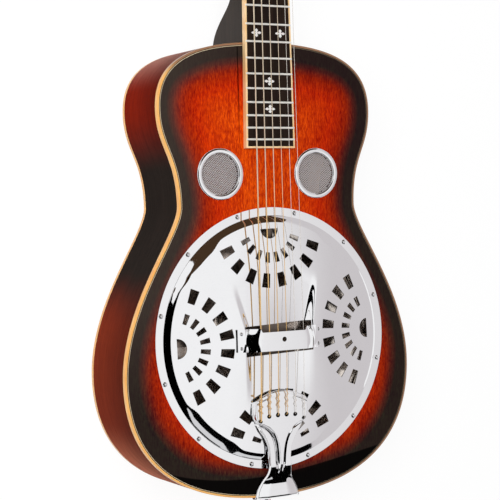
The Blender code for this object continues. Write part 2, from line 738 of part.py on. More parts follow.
def palm_rest():
    """Strap over the bridge: sloped ends, flat feet and an access hole over the tension screw."""
    foot_inner = plate_rise(PALM_FOOT_INNER, 0.0) + CLEARANCE + PALM_SHEET
    foot_outer = plate_rise(PALM_FOOT_OUTER, 0.0) + CLEARANCE + PALM_SHEET
    half = ((PALM_FOOT_OUTER, foot_outer, PALM_NECK_EDGE), (PALM_FOOT_INNER, foot_inner, PALM_NECK_EDGE),
            (PALM_NOTCH_HALF, foot_inner + (PALM_RISE - foot_inner) * (PALM_FOOT_INNER - PALM_NOTCH_HALF)
             / (PALM_FOOT_INNER - PALM_TOP_HALF), PALM_NECK_EDGE),
            (PALM_TOP_HALF, PALM_RISE, PALM_WAIST_EDGE))
    stations = [(-x, z, edge) for x, z, edge in half] + [(x, z, edge) for x, z, edge in half[::-1]]
    loops = []
    for x, z, edge in stations:
        loops.append([(x, PALM_TAIL_EDGE, z - PALM_SHEET), (x, edge, z - PALM_SHEET),
                      (x, edge, z), (x, PALM_TAIL_EDGE, z)])
    where = {"location": (0.0, RESONATOR_Y, TOP_Z)}
    strap = loft("palm_rest", loops, "chrome", **where)
    cut(strap, turned("access_hole", ((PALM_HOLE_RADIUS, 0.0), (PALM_HOLE_RADIUS, 2 * PALM_RISE)),
                      SMALL_STEPS, **where))


def neck_width(y):
    """Full width of neck and bound fretboard at a place along the strings."""
    return NUT_WIDTH + NECK_TAPER * (SCALE_LENGTH - y)


def fret_y(number):
    """Place of a fret measured from the saddle line."""
    return SCALE_LENGTH * 2 ** (-number / 12)


def neck_loop(y, depth):
    """Cross-section of the square neck: flat sides, rounded lower edges, slimmer at the heel's foot."""
    half = neck_width(y) / 2
    low_half = half * (1 - HEEL_SLIMMING * max(0.0, depth - NECK_DEPTH) / (HEEL_DEPTH - NECK_DEPTH))
    bottom = TOP_Z - depth
    pull = 0.29 * NECK_CORNER
    side = [(half, TOP_Z), (low_half, bottom + NECK_CORNER), (low_half - pull, bottom + pull),
            (low_half - NECK_CORNER, bottom)]
    return [(x, y, z) for x, z in side] + [(-x, y, z) for x, z in side[::-1]]


def neck():
    """Neck with heel and a tilted headstock."""
    start = JOINT_Y + CLEARANCE
    heel_end = start + HEEL_LENGTH
    heel = bezier((start, HEEL_DEPTH), (start + 0.5 * HEEL_LENGTH, HEEL_DEPTH - HEEL_SWELL),
                  (heel_end - 0.3 * HEEL_LENGTH, NECK_DEPTH), (heel_end, NECK_DEPTH), HEEL_STATIONS)
    throat = HEAD_THICK / math.cos(HEAD_ANGLE)
    run = 2 * (NECK_DEPTH - throat)
    sweep = bezier((NUT_BACK_Y - run, NECK_DEPTH), (NUT_BACK_Y - 0.4 * run, NECK_DEPTH),
                   (NUT_BACK_Y - 0.3 * run, throat), (NUT_BACK_Y, throat), 6)
    body = loft("neck", [neck_loop(y, depth) for y, depth in heel + sweep], "dark_neck")
    frame = headstock_frame()
    face = head_outline()
    root = [(x, y - HEAD_ROOT if y < TUNER_FIRST / 2 else y) for x, y in face]
    block = loft("headstock_block", [level(root, -HEAD_THICK), level(face, 0.0)], parent=frame)
    fuse(body, block)
    veneer = prism("headstock_veneer", face, CLEARANCE, CLEARANCE + VENEER_THICK, "rosewood",
                   parent=frame)
    for label, x, y in tuner_places():
        bore = circle(POST_RADIUS + CLEARANCE, SMALL_STEPS, (x, y))
        way = prism(f"post_way_{label}", bore, -2 * HEAD_THICK, HEAD_THICK, parent=frame)
        cut(body, way)
        cut(veneer, way)


def headstock_frame():
    """Empty on the headstock's face behind the nut: +Y runs up the face, +Z stands out of it."""
    frame = bpy.data.objects.get("headstock_frame")
    if frame is None:
        frame = place(bpy.data.objects.new("headstock_frame", None), None, (0.0, NUT_BACK_Y, TOP_Z))
        frame.rotation_euler[0] = -HEAD_ANGLE
        bpy.context.view_layer.update()
    return frame


def head_outline():
    """Plain paddle outline of the headstock, in the headstock frame."""
    root = neck_width(NUT_BACK_Y) / 2 - CLEARANCE
    wide = HEAD_WIDTH / 2
    tip = HEAD_TIP_WIDTH / 2
    flare = TUNER_FIRST * 0.75
    crown = HEAD_LENGTH * 0.09
    half = bezier((root, 0.0), (root, 0.6 * flare), (wide, 0.45 * flare), (wide, flare), 6)
    half += bezier((tip, HEAD_LENGTH - crown), (tip, HEAD_LENGTH - 0.3 * crown), (0.6 * tip, HEAD_LENGTH),
                   (0.0, HEAD_LENGTH), 7)
    return half + [(-x, y) for x, y in half[-2::-1]]


def fretboard():
    """Fretboard with its frets, the binding round it and the nut."""
    low = TOP_Z + CLEARANCE
    end = fret_y(FRETS) - FRETBOARD_OVERHANG
    core_end = end + FRETBOARD_BINDING + CLEARANCE
    head_end = SCALE_LENGTH - CLEARANCE
    profile = [(head_end, low), (core_end, low), (core_end, BOARD_TOP_Z)]
    for number in range(FRETS, 0, -1):
        y = fret_y(number)
        profile += [(y - FRET_WIDTH / 2, BOARD_TOP_Z), (y - FRET_CROWN / 2, BOARD_TOP_Z + FRET_HEIGHT),
                    (y + FRET_CROWN / 2, BOARD_TOP_Z + FRET_HEIGHT), (y + FRET_WIDTH / 2, BOARD_TOP_Z)]
    profile.append((head_end, BOARD_TOP_Z))
    edge = FRETBOARD_BINDING + CLEARANCE
    loops = [[(side * (neck_width(y) / 2 - edge), y, z) for y, z in profile] for side in (-1, 1)]
    loft("fretboard", loops, "rosewood")

    outer_end, outer_head = neck_width(end) / 2, neck_width(head_end) / 2
    inner_end = neck_width(end + FRETBOARD_BINDING) / 2 - FRETBOARD_BINDING
    inner_head = outer_head - FRETBOARD_BINDING
    around = [(outer_head, head_end), (inner_head, head_end), (inner_end, end + FRETBOARD_BINDING),
              (-inner_end, end + FRETBOARD_BINDING), (-inner_head, head_end), (-outer_head, head_end),
              (-outer_end, end), (outer_end, end)]
    prism("fretboard_binding", around, low, BOARD_TOP_Z, "cream_binding")

    half = NUT_WIDTH / 2
    outline = notched_top(range(len(STRING_DIAMETERS)), NUT_SPREAD, (-half, half), low, nut_crest_z())
    loft("nut", [[(x, y, z) for x, z in outline] for y in (SCALE_LENGTH, SCALE_LENGTH + NUT_THICK)], "bone")


def tuner_places():
    """Name and place of each string post in the headstock frame, in the order of the strings."""
    names = ("bass_1", "bass_2", "bass_3", "treble_3", "treble_2", "treble_1")
    places = []
    for i, label in enumerate(names):
        row = min(i, len(names) - 1 - i) % TUNERS_PER_SIDE
        side = -1 if i < TUNERS_PER_SIDE else 1
        places.append((label, side * POST_X, TUNER_FIRST + row * TUNER_SPACING))
    return places


def tuners():
    """Closed gear housings, string posts and buttons on their worm shafts."""
    frame = headstock_frame()
    seat = -HEAD_THICK - CLEARANCE
    floor = seat - HOUSING_DEPTH
    axle = seat - HOUSING_DEPTH / 2
    post_foot = floor + SHAFT_RADIUS
    for label, x, y in tuner_places():
        side = math.copysign(1, x)
        outline = [(side * (px + (HOUSING_OUTER - HOUSING_INNER) / 2), py + (HOUSING_FAR - HOUSING_NEAR) / 2)
                   for px, py in rounded_box(HOUSING_INNER + HOUSING_OUTER, HOUSING_NEAR + HOUSING_FAR,
                                             HOUSING_CORNER)]
        crown = [(0.86 * px, 0.86 * py + 0.14 * (HOUSING_FAR - HOUSING_NEAR) / 2) for px, py in outline]
        where = {"parent": frame, "location": (x, y, 0.0)}
        housing = loft(f"tuner_housing_{label}",
                       [level(outline, seat), level(outline, floor + HOUSING_DEPTH / 4), level(crown, floor)],
                       "chrome", **where)
        cut(housing, turned(f"post_bore_{label}", ((POST_RADIUS + CLEARANCE, post_foot - CLEARANCE),
                                                   (POST_RADIUS + CLEARANCE, 0.0)), SMALL_STEPS, **where))
        turned(f"tuner_post_{label}",
               ((POST_RADIUS, post_foot), (POST_RADIUS, POST_GROOVE_BOTTOM - POST_GROOVE_SLOPE),
                (POST_WAIST_RADIUS, POST_GROOVE_BOTTOM), (POST_WAIST_RADIUS, POST_GROOVE_TOP),
                (POST_RADIUS, POST_GROOVE_TOP + POST_GROOVE_SLOPE), (POST_RADIUS, POST_TOP - POST_BEVEL),
                (POST_RADIUS - POST_BEVEL, POST_TOP)), SMALL_STEPS, "chrome", **where)

        shaft = {"parent": frame, "location": (x, y - SHAFT_OFFSET, axle)}
        bore = SHAFT_RADIUS + CLEARANCE
        cut(housing, loft(f"shaft_bore_{label}",
                          [shaft_loop(side * run, bore, bore)
                           for run in (-SHAFT_INNER - CLEARANCE, 2 * HOUSING_OUTER)], **shaft))
        neck_radius = 1.15 * SHAFT_RADIUS
        stations = [(-SHAFT_INNER, SHAFT_RADIUS, SHAFT_RADIUS),
                    (HOUSING_OUTER + SHAFT_COLLAR, SHAFT_RADIUS, SHAFT_RADIUS),
                    (BUTTON_START, neck_radius, neck_radius)]
        for share, width, thick in ((0.06, 0.70, 0.72), (0.22, 0.95, 0.94), (0.50, 1.0, 1.0),
                                    (0.82, 0.86, 0.84), (1.0, 0.50, 0.48)):
            stations.append((BUTTON_START + share * BUTTON_LENGTH, width * BUTTON_HALF_WIDTH,
                             thick * BUTTON_HALF_THICK))
        loft(f"tuner_button_{label}", [shaft_loop(side * run, wide, thick) for run, wide, thick in stations],
             "chrome", **shaft)


def shaft_loop(x, half_width, half_thick):
    """An oval across a shaft that runs along X."""
    return [(x, half_width * y, half_thick * z) for y, z in circle(1.0, SMALL_STEPS)]


def end_pin_cutter(name):
    """Cutter for the end pin's way through the tail."""
    rim = circle(END_PIN_SHANK + CLEARANCE, SMALL_STEPS)
    z = TOP_Z - END_PIN_DROP
    return loft(name, [[(x, y, z + dz) for x, dz in rim] for y in (TAIL_Y - END_PIN_LENGTH, RESONATOR_Y)])


def tailpiece_stations():
    """Stations of the tailpiece from its front edge to the tab on the tail: place, height over the
    soundboard, half width, bow of the front edge, height of the edge ribs and depth of the rim."""
    head, waist, foot = TAILPIECE_HEAD_HALF, TAILPIECE_NECK_HALF, TAILPIECE_FOOT_HALF
    front = -TAILPIECE_FRONT
    top = TAILPIECE_RISE
    rib, rim = TAILPIECE_RIB, TAILPIECE_RIM
    shoulder = -BALL_HOLE_REACH - TAILPIECE_SHOULDER
    over = CLEARANCE + TAILPIECE_SHEET
    run = TAIL_Y - shoulder
    throat = shoulder + 0.48 * run
    low = top * 0.5
    return (
        (front, top, head, TAILPIECE_BOW, 0.0, rim),
        ((front + shoulder) / 2, top, head * 1.01, 0.6 * TAILPIECE_BOW, 0.0, rim),
        (shoulder, top - 0.3 * TAILPIECE_HIGH_STEP, head * 0.95, 0.2 * TAILPIECE_BOW, 0.3 * rib, rim),
        (shoulder + 0.08 * run, top - TAILPIECE_HIGH_STEP, head * 0.85, 0.0, rib, 0.6 * rim),
        (shoulder + 0.22 * run, top - 2 * TAILPIECE_HIGH_STEP, head * 0.66, 0.0, rib, 0.5 * rim),
        (throat - 0.10 * run, low + TAILPIECE_LOW_STEP, waist * 1.12, 0.0, rib, 0.4 * rim),
        (throat, low, waist, 0.0, rib, 0.4 * rim),
        (throat + 0.20 * run, low - TAILPIECE_LOW_STEP, waist * 1.15, 0.0, 0.8 * rib, 0.3 * rim),
        (throat + 0.36 * run, low - 2 * TAILPIECE_LOW_STEP, (waist + foot) / 2, 0.0, 0.5 * rib, 0.2 * rim),
        (TAIL_Y + 1.5 * TAILPIECE_SHEET, 2 * over, foot * 0.97, 0.0, 0.2 * rib, 0.1 * rim),
        (TAIL_Y - over, over, foot, 0.0, 0.0, 0.0),
        (TAIL_Y - over, -TAILPIECE_TAB_SHOULDER, foot, 0.0, 0.0, 0.0),
        (TAIL_Y - over, -TAILPIECE_TAB_WAIST, foot * 0.70, 0.0, 0.0, 0.0),
        (TAIL_Y - over, -TAILPIECE_TAB_DROP, END_PIN_HEAD * 1.4, 0.0, 0.0, 0.0),
    )


def tailpiece():
    """Pressed tailpiece: bowed head over the ball ends, ribbed arms, a tab hooked over the tail; end pin."""
    stations = tailpiece_stations()
    places = np.array([(y, z) for y, z, *_ in stations])
    along = np.gradient(places, axis=0)
    along /= np.linalg.norm(along, axis=1, keepdims=True)
    shares = (-1.0, -0.93, -0.74, -0.58, -0.46, 0.0, 0.46, 0.58, 0.74, 0.93, 1.0)
    ridge = (0.0, 0.75, 1.0, 0.75, 0.0, 0.0, 0.0, 0.75, 1.0, 0.75, 0.0)
    loops = []
    for (y, z, half, bow, rib, rim), (ty, tz) in zip(stations, along):
        normal = np.array((tz, -ty)) if ty <= 0 else np.array((-tz, ty))
        outer, inner = [], []
        inset = TAILPIECE_SHEET / half
        for share, lift in zip(shares, ridge):
            edge = abs(share) == 1.0
            middle = np.array((y - bow * share ** 2, z)) + normal * (rib * lift - (rim if edge else 0.0))
            outer.append((share * half, *middle))
            under = middle - (0.0 if edge and rim > TAILPIECE_SHEET else TAILPIECE_SHEET) * normal
            inner.append((math.copysign(abs(share) - (inset if abs(share) > 0.9 else 0.0), share) * half
                          if share else 0.0, *under))
        loops.append(outer + inner[::-1])
    item = loft("tailpiece", loops, "chrome", location=(0.0, 0.0, TOP_Z))
    for index in range(len(STRING_DIAMETERS)):
        x = string_x(index, BALL_SPREAD)
        rim = circle(BALL_HOLE_RADIUS, SMALL_STEPS, (x, -BALL_HOLE_REACH))
        cut(item, prism(f"ball_hole_{index + 1}", rim, TOP_Z, TOP_Z + 2 * TAILPIECE_RISE))
    cut(item, end_pin_cutter("end_pin_hole_tab"))

    face = TAIL_Y - 2 * CLEARANCE - TAILPIECE_SHEET
    inside = tail_block_span()[1]
    bulge = END_PIN_HEAD * 0.75
    z = TOP_Z - END_PIN_DROP
    stations = ((inside, END_PIN_SHANK), (face, END_PIN_SHANK), (face, END_PIN_HEAD),
                (face - END_PIN_COLLAR, END_PIN_HEAD), (face - 0.45 * END_PIN_LENGTH, bulge),
                (face - 0.75 * END_PIN_LENGTH, END_PIN_HEAD * 0.96), (face - END_PIN_LENGTH, bulge))
    loft("end_pin", [[(x, y, z + dz) for x, dz in circle(radius, SMALL_STEPS)] for y, radius in stations],
         "chrome")


def string_route(index, places, frame):
    """Centre line of a string from its ball end to its last turn on the post, with radius factors."""
    radius = STRING_DIAMETERS[index] / 2
    plate_top = TOP_Z + TAILPIECE_RISE
    ball_x = string_x(index, BALL_SPREAD)
    ball_y = -BALL_HOLE_REACH
    ball_top = plate_top - TAILPIECE_SHEET - 2 * CLEARANCE
    bulge = BALL_END_RADIUS / radius
    saddle_x = string_x(index, SADDLE_SPREAD)
    saddle_z = TOP_Z + SADDLE_STRING_RISE + CLEARANCE + radius
    nut_x = string_x(index, NUT_SPREAD)
    nut_z = TOP_Z + NUT_STRING_RISE + CLEARANCE + radius
    half_saddle = SADDLE_THICK / 2 + CLEARANCE
    bend = 2 * BALL_END_RADIUS / 3
    points = [
        ((ball_x, ball_y, ball_top - BALL_END_LENGTH), bulge), ((ball_x, ball_y, ball_top), bulge),
        ((ball_x, ball_y, ball_top + CLEARANCE), 1.0), ((ball_x, ball_y, plate_top), 1.0),
        ((ball_x, ball_y + 0.4 * bend, plate_top + bend), 1.0),
        ((ball_x, ball_y + 1.6 * bend, plate_top + 1.5 * bend), 1.0),
        ((saddle_x, RESONATOR_Y - half_saddle, saddle_z), 1.0),
        ((saddle_x, RESONATOR_Y + half_saddle, saddle_z), 1.0),
        ((nut_x, SCALE_LENGTH - CLEARANCE, nut_z), 1.0), ((nut_x, NUT_BACK_Y, nut_z), 1.0),
    ]
    _, post_x, post_y = places[index]
    side = math.copysign(1, post_x)
    sweep = POST_WAIST_RADIUS + CLEARANCE + radius
    pitch = 2 * radius + STRING_TURN_GAP
    turns = []
    for step in range(STRING_TURNS * STRING_TURN_POINTS + 1):
        angle = 2 * math.pi * step / STRING_TURN_POINTS
        local = Vector((post_x - side * sweep * math.cos(angle), post_y + sweep * math.sin(angle),
                        STRING_WRAP_TOP - pitch * step / STRING_TURN_POINTS))
        turns.append(tuple(frame.matrix_world @ local))
    points += [(point, 1.0) for point in turns]
    return points, np.array(turns), radius


def strings():
    """Six strings, each one unbroken tube with its turns round the post."""
    frame = headstock_frame()
    places = tuner_places()
    for index in range(len(STRING_DIAMETERS)):
        points, turns, radius = string_route(index, places, frame)
        curve = bpy.data.curves.new(f"string_{index + 1}", "CURVE")
        curve.dimensions = "3D"
        curve.bevel_depth = radius
        curve.bevel_resolution = 1
        curve.use_fill_caps = True
        spline = curve.splines.new("POLY")
        spline.points.add(len(points) - 1)
        for knot, (point, factor) in zip(spline.points, points):
            knot.co = (*point, 1.0)
            knot.radius = factor
        item = place(bpy.data.objects.new(f"string_{index + 1}", curve))
        item.data.materials.append(finish("bronze_winding" if index < WOUND_STRINGS else "steel"))
        apart = np.linalg.norm(turns[:, None] - turns[None], axis=2)
        steps = np.abs(np.subtract.outer(np.arange(len(turns)), np.arange(len(turns))))
        gap = apart[steps > STRING_TURN_POINTS // 2].min() - 2 * radius
        print(f"string_{index + 1}: least gap between turns {1000 * gap:.2f} mm")


def main():
    """Builds the whole instrument."""
    for item in list(bpy.data.objects):
        bpy.data.objects.remove(item)
    sound_body()
    screens()
    resonator()
    coverplate()
    palm_rest()
    neck()
    fretboard()
    tuners()
    tailpiece()
    strings()
    bpy.context.view_layer.update()


main()
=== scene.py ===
"""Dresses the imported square-neck resonator guitar and sets up its studio.

Metres, in the part's own frame: +Z out of the face, +Y towards the headstock, +X towards the treble side.
"""
from __future__ import annotations

import logging
import math
from dataclasses import dataclass, field
from enum import Enum
from typing import Callable, Iterable, Sequence, Union

import bmesh
import bpy
import numpy as np
from mathutils import Matrix, Vector
from mathutils.geometry import delaunay_2d_cdt


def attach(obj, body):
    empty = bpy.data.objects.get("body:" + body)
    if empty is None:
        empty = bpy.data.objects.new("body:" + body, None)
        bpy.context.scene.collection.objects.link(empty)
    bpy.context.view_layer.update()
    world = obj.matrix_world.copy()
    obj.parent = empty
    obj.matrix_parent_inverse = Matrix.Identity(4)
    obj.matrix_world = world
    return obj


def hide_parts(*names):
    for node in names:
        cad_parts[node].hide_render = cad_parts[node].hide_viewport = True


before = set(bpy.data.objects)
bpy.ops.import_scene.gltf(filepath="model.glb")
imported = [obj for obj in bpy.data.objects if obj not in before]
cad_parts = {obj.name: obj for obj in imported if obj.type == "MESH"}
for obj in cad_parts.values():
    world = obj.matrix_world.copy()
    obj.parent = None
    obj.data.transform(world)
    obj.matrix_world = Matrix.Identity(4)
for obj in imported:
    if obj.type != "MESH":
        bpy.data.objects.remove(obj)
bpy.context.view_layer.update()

LOG = logging.getLogger("resonator_guitar")
Array = np.ndarray
Pair = tuple[float, float]
Triple = tuple[float, float, float]
Series = tuple[float, ...]
Colour = Triple

ROOT = "instrument"
GAP = 0.0003
TINY = 1e-9
TOP = 0.088
AXIS_Y = -0.0042


class Side(Enum):
    """The two halves of the instrument, by the sign of X."""

    BASS = -1
    TREBLE = 1

    @property
    def label(self) -> str:
        """Name used in node and piece names."""
        return self.name.lower()


def unit(vectors: Array) -> Array:
    """Vectors along the last axis, each divided by its length."""
    return vectors / np.linalg.norm(vectors, axis=-1, keepdims=True)


def smooth_step(value: Array, low: float, high: float) -> Array:
    """0 below low, 1 above high and 3t^2 - 2t^3 between."""
    share = np.clip((value - low) / (high - low), 0.0, 1.0)
    return share * share * (3.0 - 2.0 * share)


def smooth_min(one: Array, other: Array, blend: float) -> Array:
    """The lower of two heights, rounded where they cross: (a + b - sqrt((a - b)^2 + k^2)) / 2."""
    return 0.5 * (one + other - np.sqrt((one - other) ** 2 + blend ** 2))


def hermite(at: Array, knots: Array, values: Array) -> Array:
    """Cubic curve through values at knots, with the slope of the neighbours at each knot.

    Args:
        at: places where the curve is wanted.
        knots: rising places of the given values.
        values: one row per knot.

    Returns:
        The curve's values, one row per place.
    """
    values = np.asarray(values, float).reshape(len(knots), -1)
    slopes = np.gradient(values, knots, axis=0)
    index = np.clip(np.searchsorted(knots, at) - 1, 0, len(knots) - 2)
    span = (knots[index + 1] - knots[index])[:, None]
    t = (at - knots[index])[:, None] / span
    return ((2 * t ** 3 - 3 * t ** 2 + 1) * values[index] + (t ** 3 - 2 * t ** 2 + t) * span * slopes[index]
            + (3 * t ** 2 - 2 * t ** 3) * values[index + 1] + (t ** 3 - t ** 2) * span * slopes[index + 1])


def bezier(corners: Sequence[Sequence[float]], samples: int) -> tuple[Array, Array]:
    """Points and tangents of a cubic curve, from its four corners."""
    p = np.asarray(corners, float)
    t = np.linspace(0.0, 1.0, samples)[:, None]
    s = 1.0 - t
    points = s ** 3 * p[0] + 3 * s * s * t * p[1] + 3 * s * t * t * p[2] + t ** 3 * p[3]
    tangents = s * s * (p[1] - p[0]) + 2 * s * t * (p[2] - p[1]) + t * t * (p[3] - p[2])
    return points, tangents


def circle(radius: float, steps: int, centre: Sequence[float] = (0.0, 0.0)) -> Array:
    """Points of a circle in a plane, counter-clockwise."""
    angles = np.arange(steps) * (2 * math.pi / steps)
    return np.stack([np.cos(angles), np.sin(angles)], axis=1) * radius + np.asarray(centre)


def dense(loop: Array, spacing: float) -> Array:
    """A closed outline with points added so that none of its edges is longer than the spacing."""
    ahead = np.roll(loop, -1, axis=0)
    counts = np.maximum(1, np.ceil(np.linalg.norm(ahead - loop, axis=1) / spacing).astype(int))
    first = np.repeat(np.arange(len(loop)), counts)
    step = np.arange(counts.sum()) - np.repeat(np.cumsum(counts) - counts, counts)
    share = (step / counts[first])[:, None]
    return loop[first] * (1 - share) + ahead[first] * share


def inside(points: Array, loop: Array) -> Array:
    """Whether each point lies in a closed outline, by counting the edges that a ray along +X crosses."""
    ahead = np.roll(loop, -1, axis=0)
    y = points[:, 1:2]
    rising = (loop[:, 1] > y) != (ahead[:, 1] > y)
    drop = ahead[:, 1] - loop[:, 1]
    drop = np.where(drop == 0.0, 1.0, drop)
    cross = loop[:, 0] + (y - loop[:, 1]) * (ahead[:, 0] - loop[:, 0]) / drop
    return (rising & (points[:, 0:1] < cross)).sum(axis=1) % 2 == 1


def near(points: Array, loop: Array) -> Array:
    """Distance from each point to the nearest point of an outline."""
    return np.sqrt(((points[:, None] - loop[None]) ** 2).sum(axis=2).min(axis=1))


def away(points: Array, loops: Sequence[Array], distance: float) -> Array:
    """Those points that lie further than a distance from every point of some outlines."""
    return points[near(points, np.concatenate(loops)) > distance]


def grid(across: Array, along: Array, stagger: float = 0.0) -> Array:
    """Plane points of a grid, row after row, every other row moved along X by the stagger."""
    points = np.stack(np.meshgrid(across, along), axis=-1)
    points[::2, :, 0] += stagger
    return points.reshape(-1, 2)


def raised(loop: Array, z: float) -> Array:
    """Plane points at a height."""
    return np.column_stack([loop, np.full(len(loop), z)])


def run_along(path: Array) -> Array:
    """Metres along a path at each of its points."""
    return np.concatenate([[0.0], np.cumsum(np.linalg.norm(np.diff(path, axis=0), axis=1))])


def lattice(rows: int, cols: int, wrap_rows: bool = False, wrap_cols: bool = False) -> Array:
    """Corner numbers of the quads of a grid of points, row after row."""
    i = np.arange(rows if wrap_rows else rows - 1)[:, None]
    j = np.arange(cols if wrap_cols else cols - 1)[None]
    below, right = (i + 1) % rows, (j + 1) % cols
    quads = np.stack(np.broadcast_arrays(i * cols + j, i * cols + right, below * cols + right, below * cols + j))
    return np.moveaxis(quads, 0, -1).reshape(-1, 4)


@dataclass
class Surface:
    """Points and faces of a piece, with an optional uv place and named values at each point."""

    points: Array
    faces: list[Array]
    uv: Array | None = None
    marks: dict[str, Array] = field(default_factory=dict)
    corner_normals: Array | None = None

    @staticmethod
    def joined(parts: Sequence[Surface]) -> Surface:
        """Several surfaces as one."""
        starts = np.cumsum([0] + [len(part.points) for part in parts])
        faces = [face + start for part, start in zip(parts, starts) for face in part.faces]
        uv = None if parts[0].uv is None else np.concatenate([part.uv for part in parts])
        return Surface(np.concatenate([part.points for part in parts]), faces, uv)

    def moved(self, matrix: Matrix) -> Surface:
        """The surface and its normals carried by a turn and a shift."""
        carry = np.array(matrix)
        turn = carry[:3, :3].T
        normals = None if self.corner_normals is None else self.corner_normals @ turn
        return Surface(self.points @ turn + carry[:3, 3], self.faces, self.uv, self.marks, normals)

    def repeated(self, places: Iterable[Matrix]) -> Surface:
        """Copies of the surface at several places, as one."""
        return Surface.joined([self.moved(place) for place in places])

    def build(self, name: str, sharp: float = 40.0) -> bpy.types.Object:
        """Makes the object, with faces turned outwards and edges over an angle kept sharp.

        Args:
            name: name of the object and its mesh.
            sharp: angle in degrees over which an edge stays sharp.

        Returns:
            The object, at the origin.
        """
        mesh = bpy.data.meshes.new(name)
        mesh.vertices.add(len(self.points))
        mesh.vertices.foreach_set("co", self.points.astype(np.float32).ravel())
        corners = np.concatenate([face.ravel() for face in self.faces])
        sizes = np.concatenate([np.full(len(face), face.shape[1]) for face in self.faces])
        mesh.loops.add(len(corners))
        mesh.loops.foreach_set("vertex_index", corners.astype(np.int32))
        mesh.polygons.add(len(sizes))
        mesh.polygons.foreach_set("loop_start", (np.cumsum(sizes) - sizes).astype(np.int32))
        mesh.update(calc_edges=True)
        for mark, values in self.marks.items():
            layer = mesh.attributes.new(mark, "FLOAT", "POINT")
            layer.data.foreach_set("value", values.astype(np.float32))
        if self.uv is not None:
            layer = mesh.uv_layers.new(name="UVMap")
            layer.data.foreach_set("uv", self.uv[corners].astype(np.float32).ravel())
        if self.corner_normals is None:
            turned_out = bmesh.new()
            turned_out.from_mesh(mesh)
            bmesh.ops.recalc_face_normals(turned_out, faces=turned_out.faces)
            turned_out.to_mesh(mesh)
            turned_out.free()
        mesh.shade_smooth()
        mesh.set_sharp_from_angle(angle=math.radians(sharp))
        if self.corner_normals is not None:
            mesh.normals_split_custom_set(self.corner_normals.tolist())
        item = bpy.data.objects.new(name, mesh)
        bpy.context.scene.collection.objects.link(item)
        return item


def lofted(sections: Array, ring: bool = False) -> Surface:
    """Rows of closed cross-sections joined by quads, capped at both ends or joined into a ring."""
    rows, cols = sections.shape[:2]
    faces = [lattice(rows, cols, ring, True)]
    if not ring:
        faces += [np.arange(cols)[None], (rows - 1) * cols + np.arange(cols)[None]]
    return Surface(sections.reshape(-1, 3), faces)


def turned(profile: Sequence[Sequence[float]], steps: int, ring: bool = False) -> Surface:
    """A profile of (radius, height) pairs turned about Z."""
    profile = np.asarray(profile, float)
    around = circle(1.0, steps)
    sections = np.empty((len(profile), steps, 3))
    sections[..., :2] = profile[:, 0, None, None] * around
    sections[..., 2] = profile[:, 1, None]
    return lofted(sections, ring)


def tube(path: Array, radius: Union[float, Array], sides: int, hint: Array) -> Surface:
    """A round tube: at each path point a circle in the plane across the tangent.

    Args:
        path: centre line.
        radius: one radius, or one per point.
        sides: points of each circle.
        hint: direction, or one per point, near which each circle starts.

    Returns:
        The closed tube. Its uv holds the share of the way round and the metres along it.
    """
    tangent = unit(np.gradient(path, axis=0))
    hint = np.broadcast_to(hint, path.shape)
    across = unit(hint - (hint * tangent).sum(axis=1, keepdims=True) * tangent)
    lift = np.cross(across, tangent)
    around = circle(1.0, sides)
    reach = np.broadcast_to(radius, len(path))[:, None, None]
    sections = path[:, None] + reach * (around[None, :, :1] * across[:, None] + around[None, :, 1:] * lift[:, None])
    item = lofted(sections)
    uv = np.broadcast_arrays(np.arange(sides)[None] / sides, run_along(path)[:, None])
    item.uv = np.stack(uv, axis=-1).reshape(-1, 2)
    return item


@dataclass
class Sheet:
    """A pressed sheet: a plane figure with holes, cut into triangles and lifted into space."""

    outline: Array
    holes: list[Array]
    inner: Array

    def covers(self, points: Array) -> Array:
        """Whether each point lies in the outline and in none of the holes."""
        kept = inside(points, self.outline)
        for hole in self.holes:
            kept &= ~inside(points, hole)
        return kept

    def triangles(self) -> tuple[Array, Array]:
        """Delaunay triangles of the figure that keep its outline and holes as edges.

        Returns:
            Plane points, and the three corners of each triangle.
        """
        loops = [self.outline, *self.holes]
        places = np.concatenate([*loops, self.inner[self.covers(self.inner)]])
        edges, start, merged = [], 0, 1e-7
        for loop in loops:
            numbers = start + np.arange(len(loop))
            edges += np.stack([numbers, np.roll(numbers, -1)], axis=1).tolist()
            start += len(loop)
        found = delaunay_2d_cdt([Vector(place) for place in places.tolist()], edges, [], 0, merged)
        points = np.array([tuple(place) for place in found[0]])
        corners = np.array([face for face in found[2] if len(face) == 3])
        return points, corners[self.covers(points[corners].mean(axis=1))]

    def solid(self, lift: Callable[[Array], Array], thick: float, exact: bool = True) -> Surface:
        """Lifts the figure to its outer face, adds an inner face below it and closes the rims.

        Args:
            lift: gives the place in space of each plane point.
            thick: thickness, taken inwards along the outer face's normal.
            exact: whether the corners keep the lifted face's own normals.

        Returns:
            The closed sheet, with the true normals of the lifted face.
        """
        plane, corners = self.triangles()
        step = 1e-6
        outer = lift(plane)
        along = lift(plane + (step, 0.0)) - lift(plane - (step, 0.0))
        aside = lift(plane + (0.0, step)) - lift(plane - (0.0, step))
        normal = unit(np.cross(along, aside))
        points = np.concatenate([outer, outer - thick * normal])
        count = len(plane)
        pairs = np.concatenate([corners[:, [0, 1]], corners[:, [1, 2]], corners[:, [2, 0]]])
        keys = pairs[:, 0] * count + pairs[:, 1]
        rim = pairs[~np.isin(pairs[:, 1] * count + pairs[:, 0], keys)]
        walls = np.stack([rim[:, 1], rim[:, 0], rim[:, 0] + count, rim[:, 1] + count], axis=1)
        wall_normal = unit(np.cross(points[walls[:, 1]] - points[walls[:, 0]],
                                    points[walls[:, 3]] - points[walls[:, 0]]))
        normals = np.concatenate([normal[corners].reshape(-1, 3), -normal[corners[:, ::-1]].reshape(-1, 3),
                                  np.repeat(wall_normal, 4, axis=0)])
        faces = [corners, corners[:, ::-1] + count, walls]
        return Surface(points, faces, corner_normals=normals if exact else None)


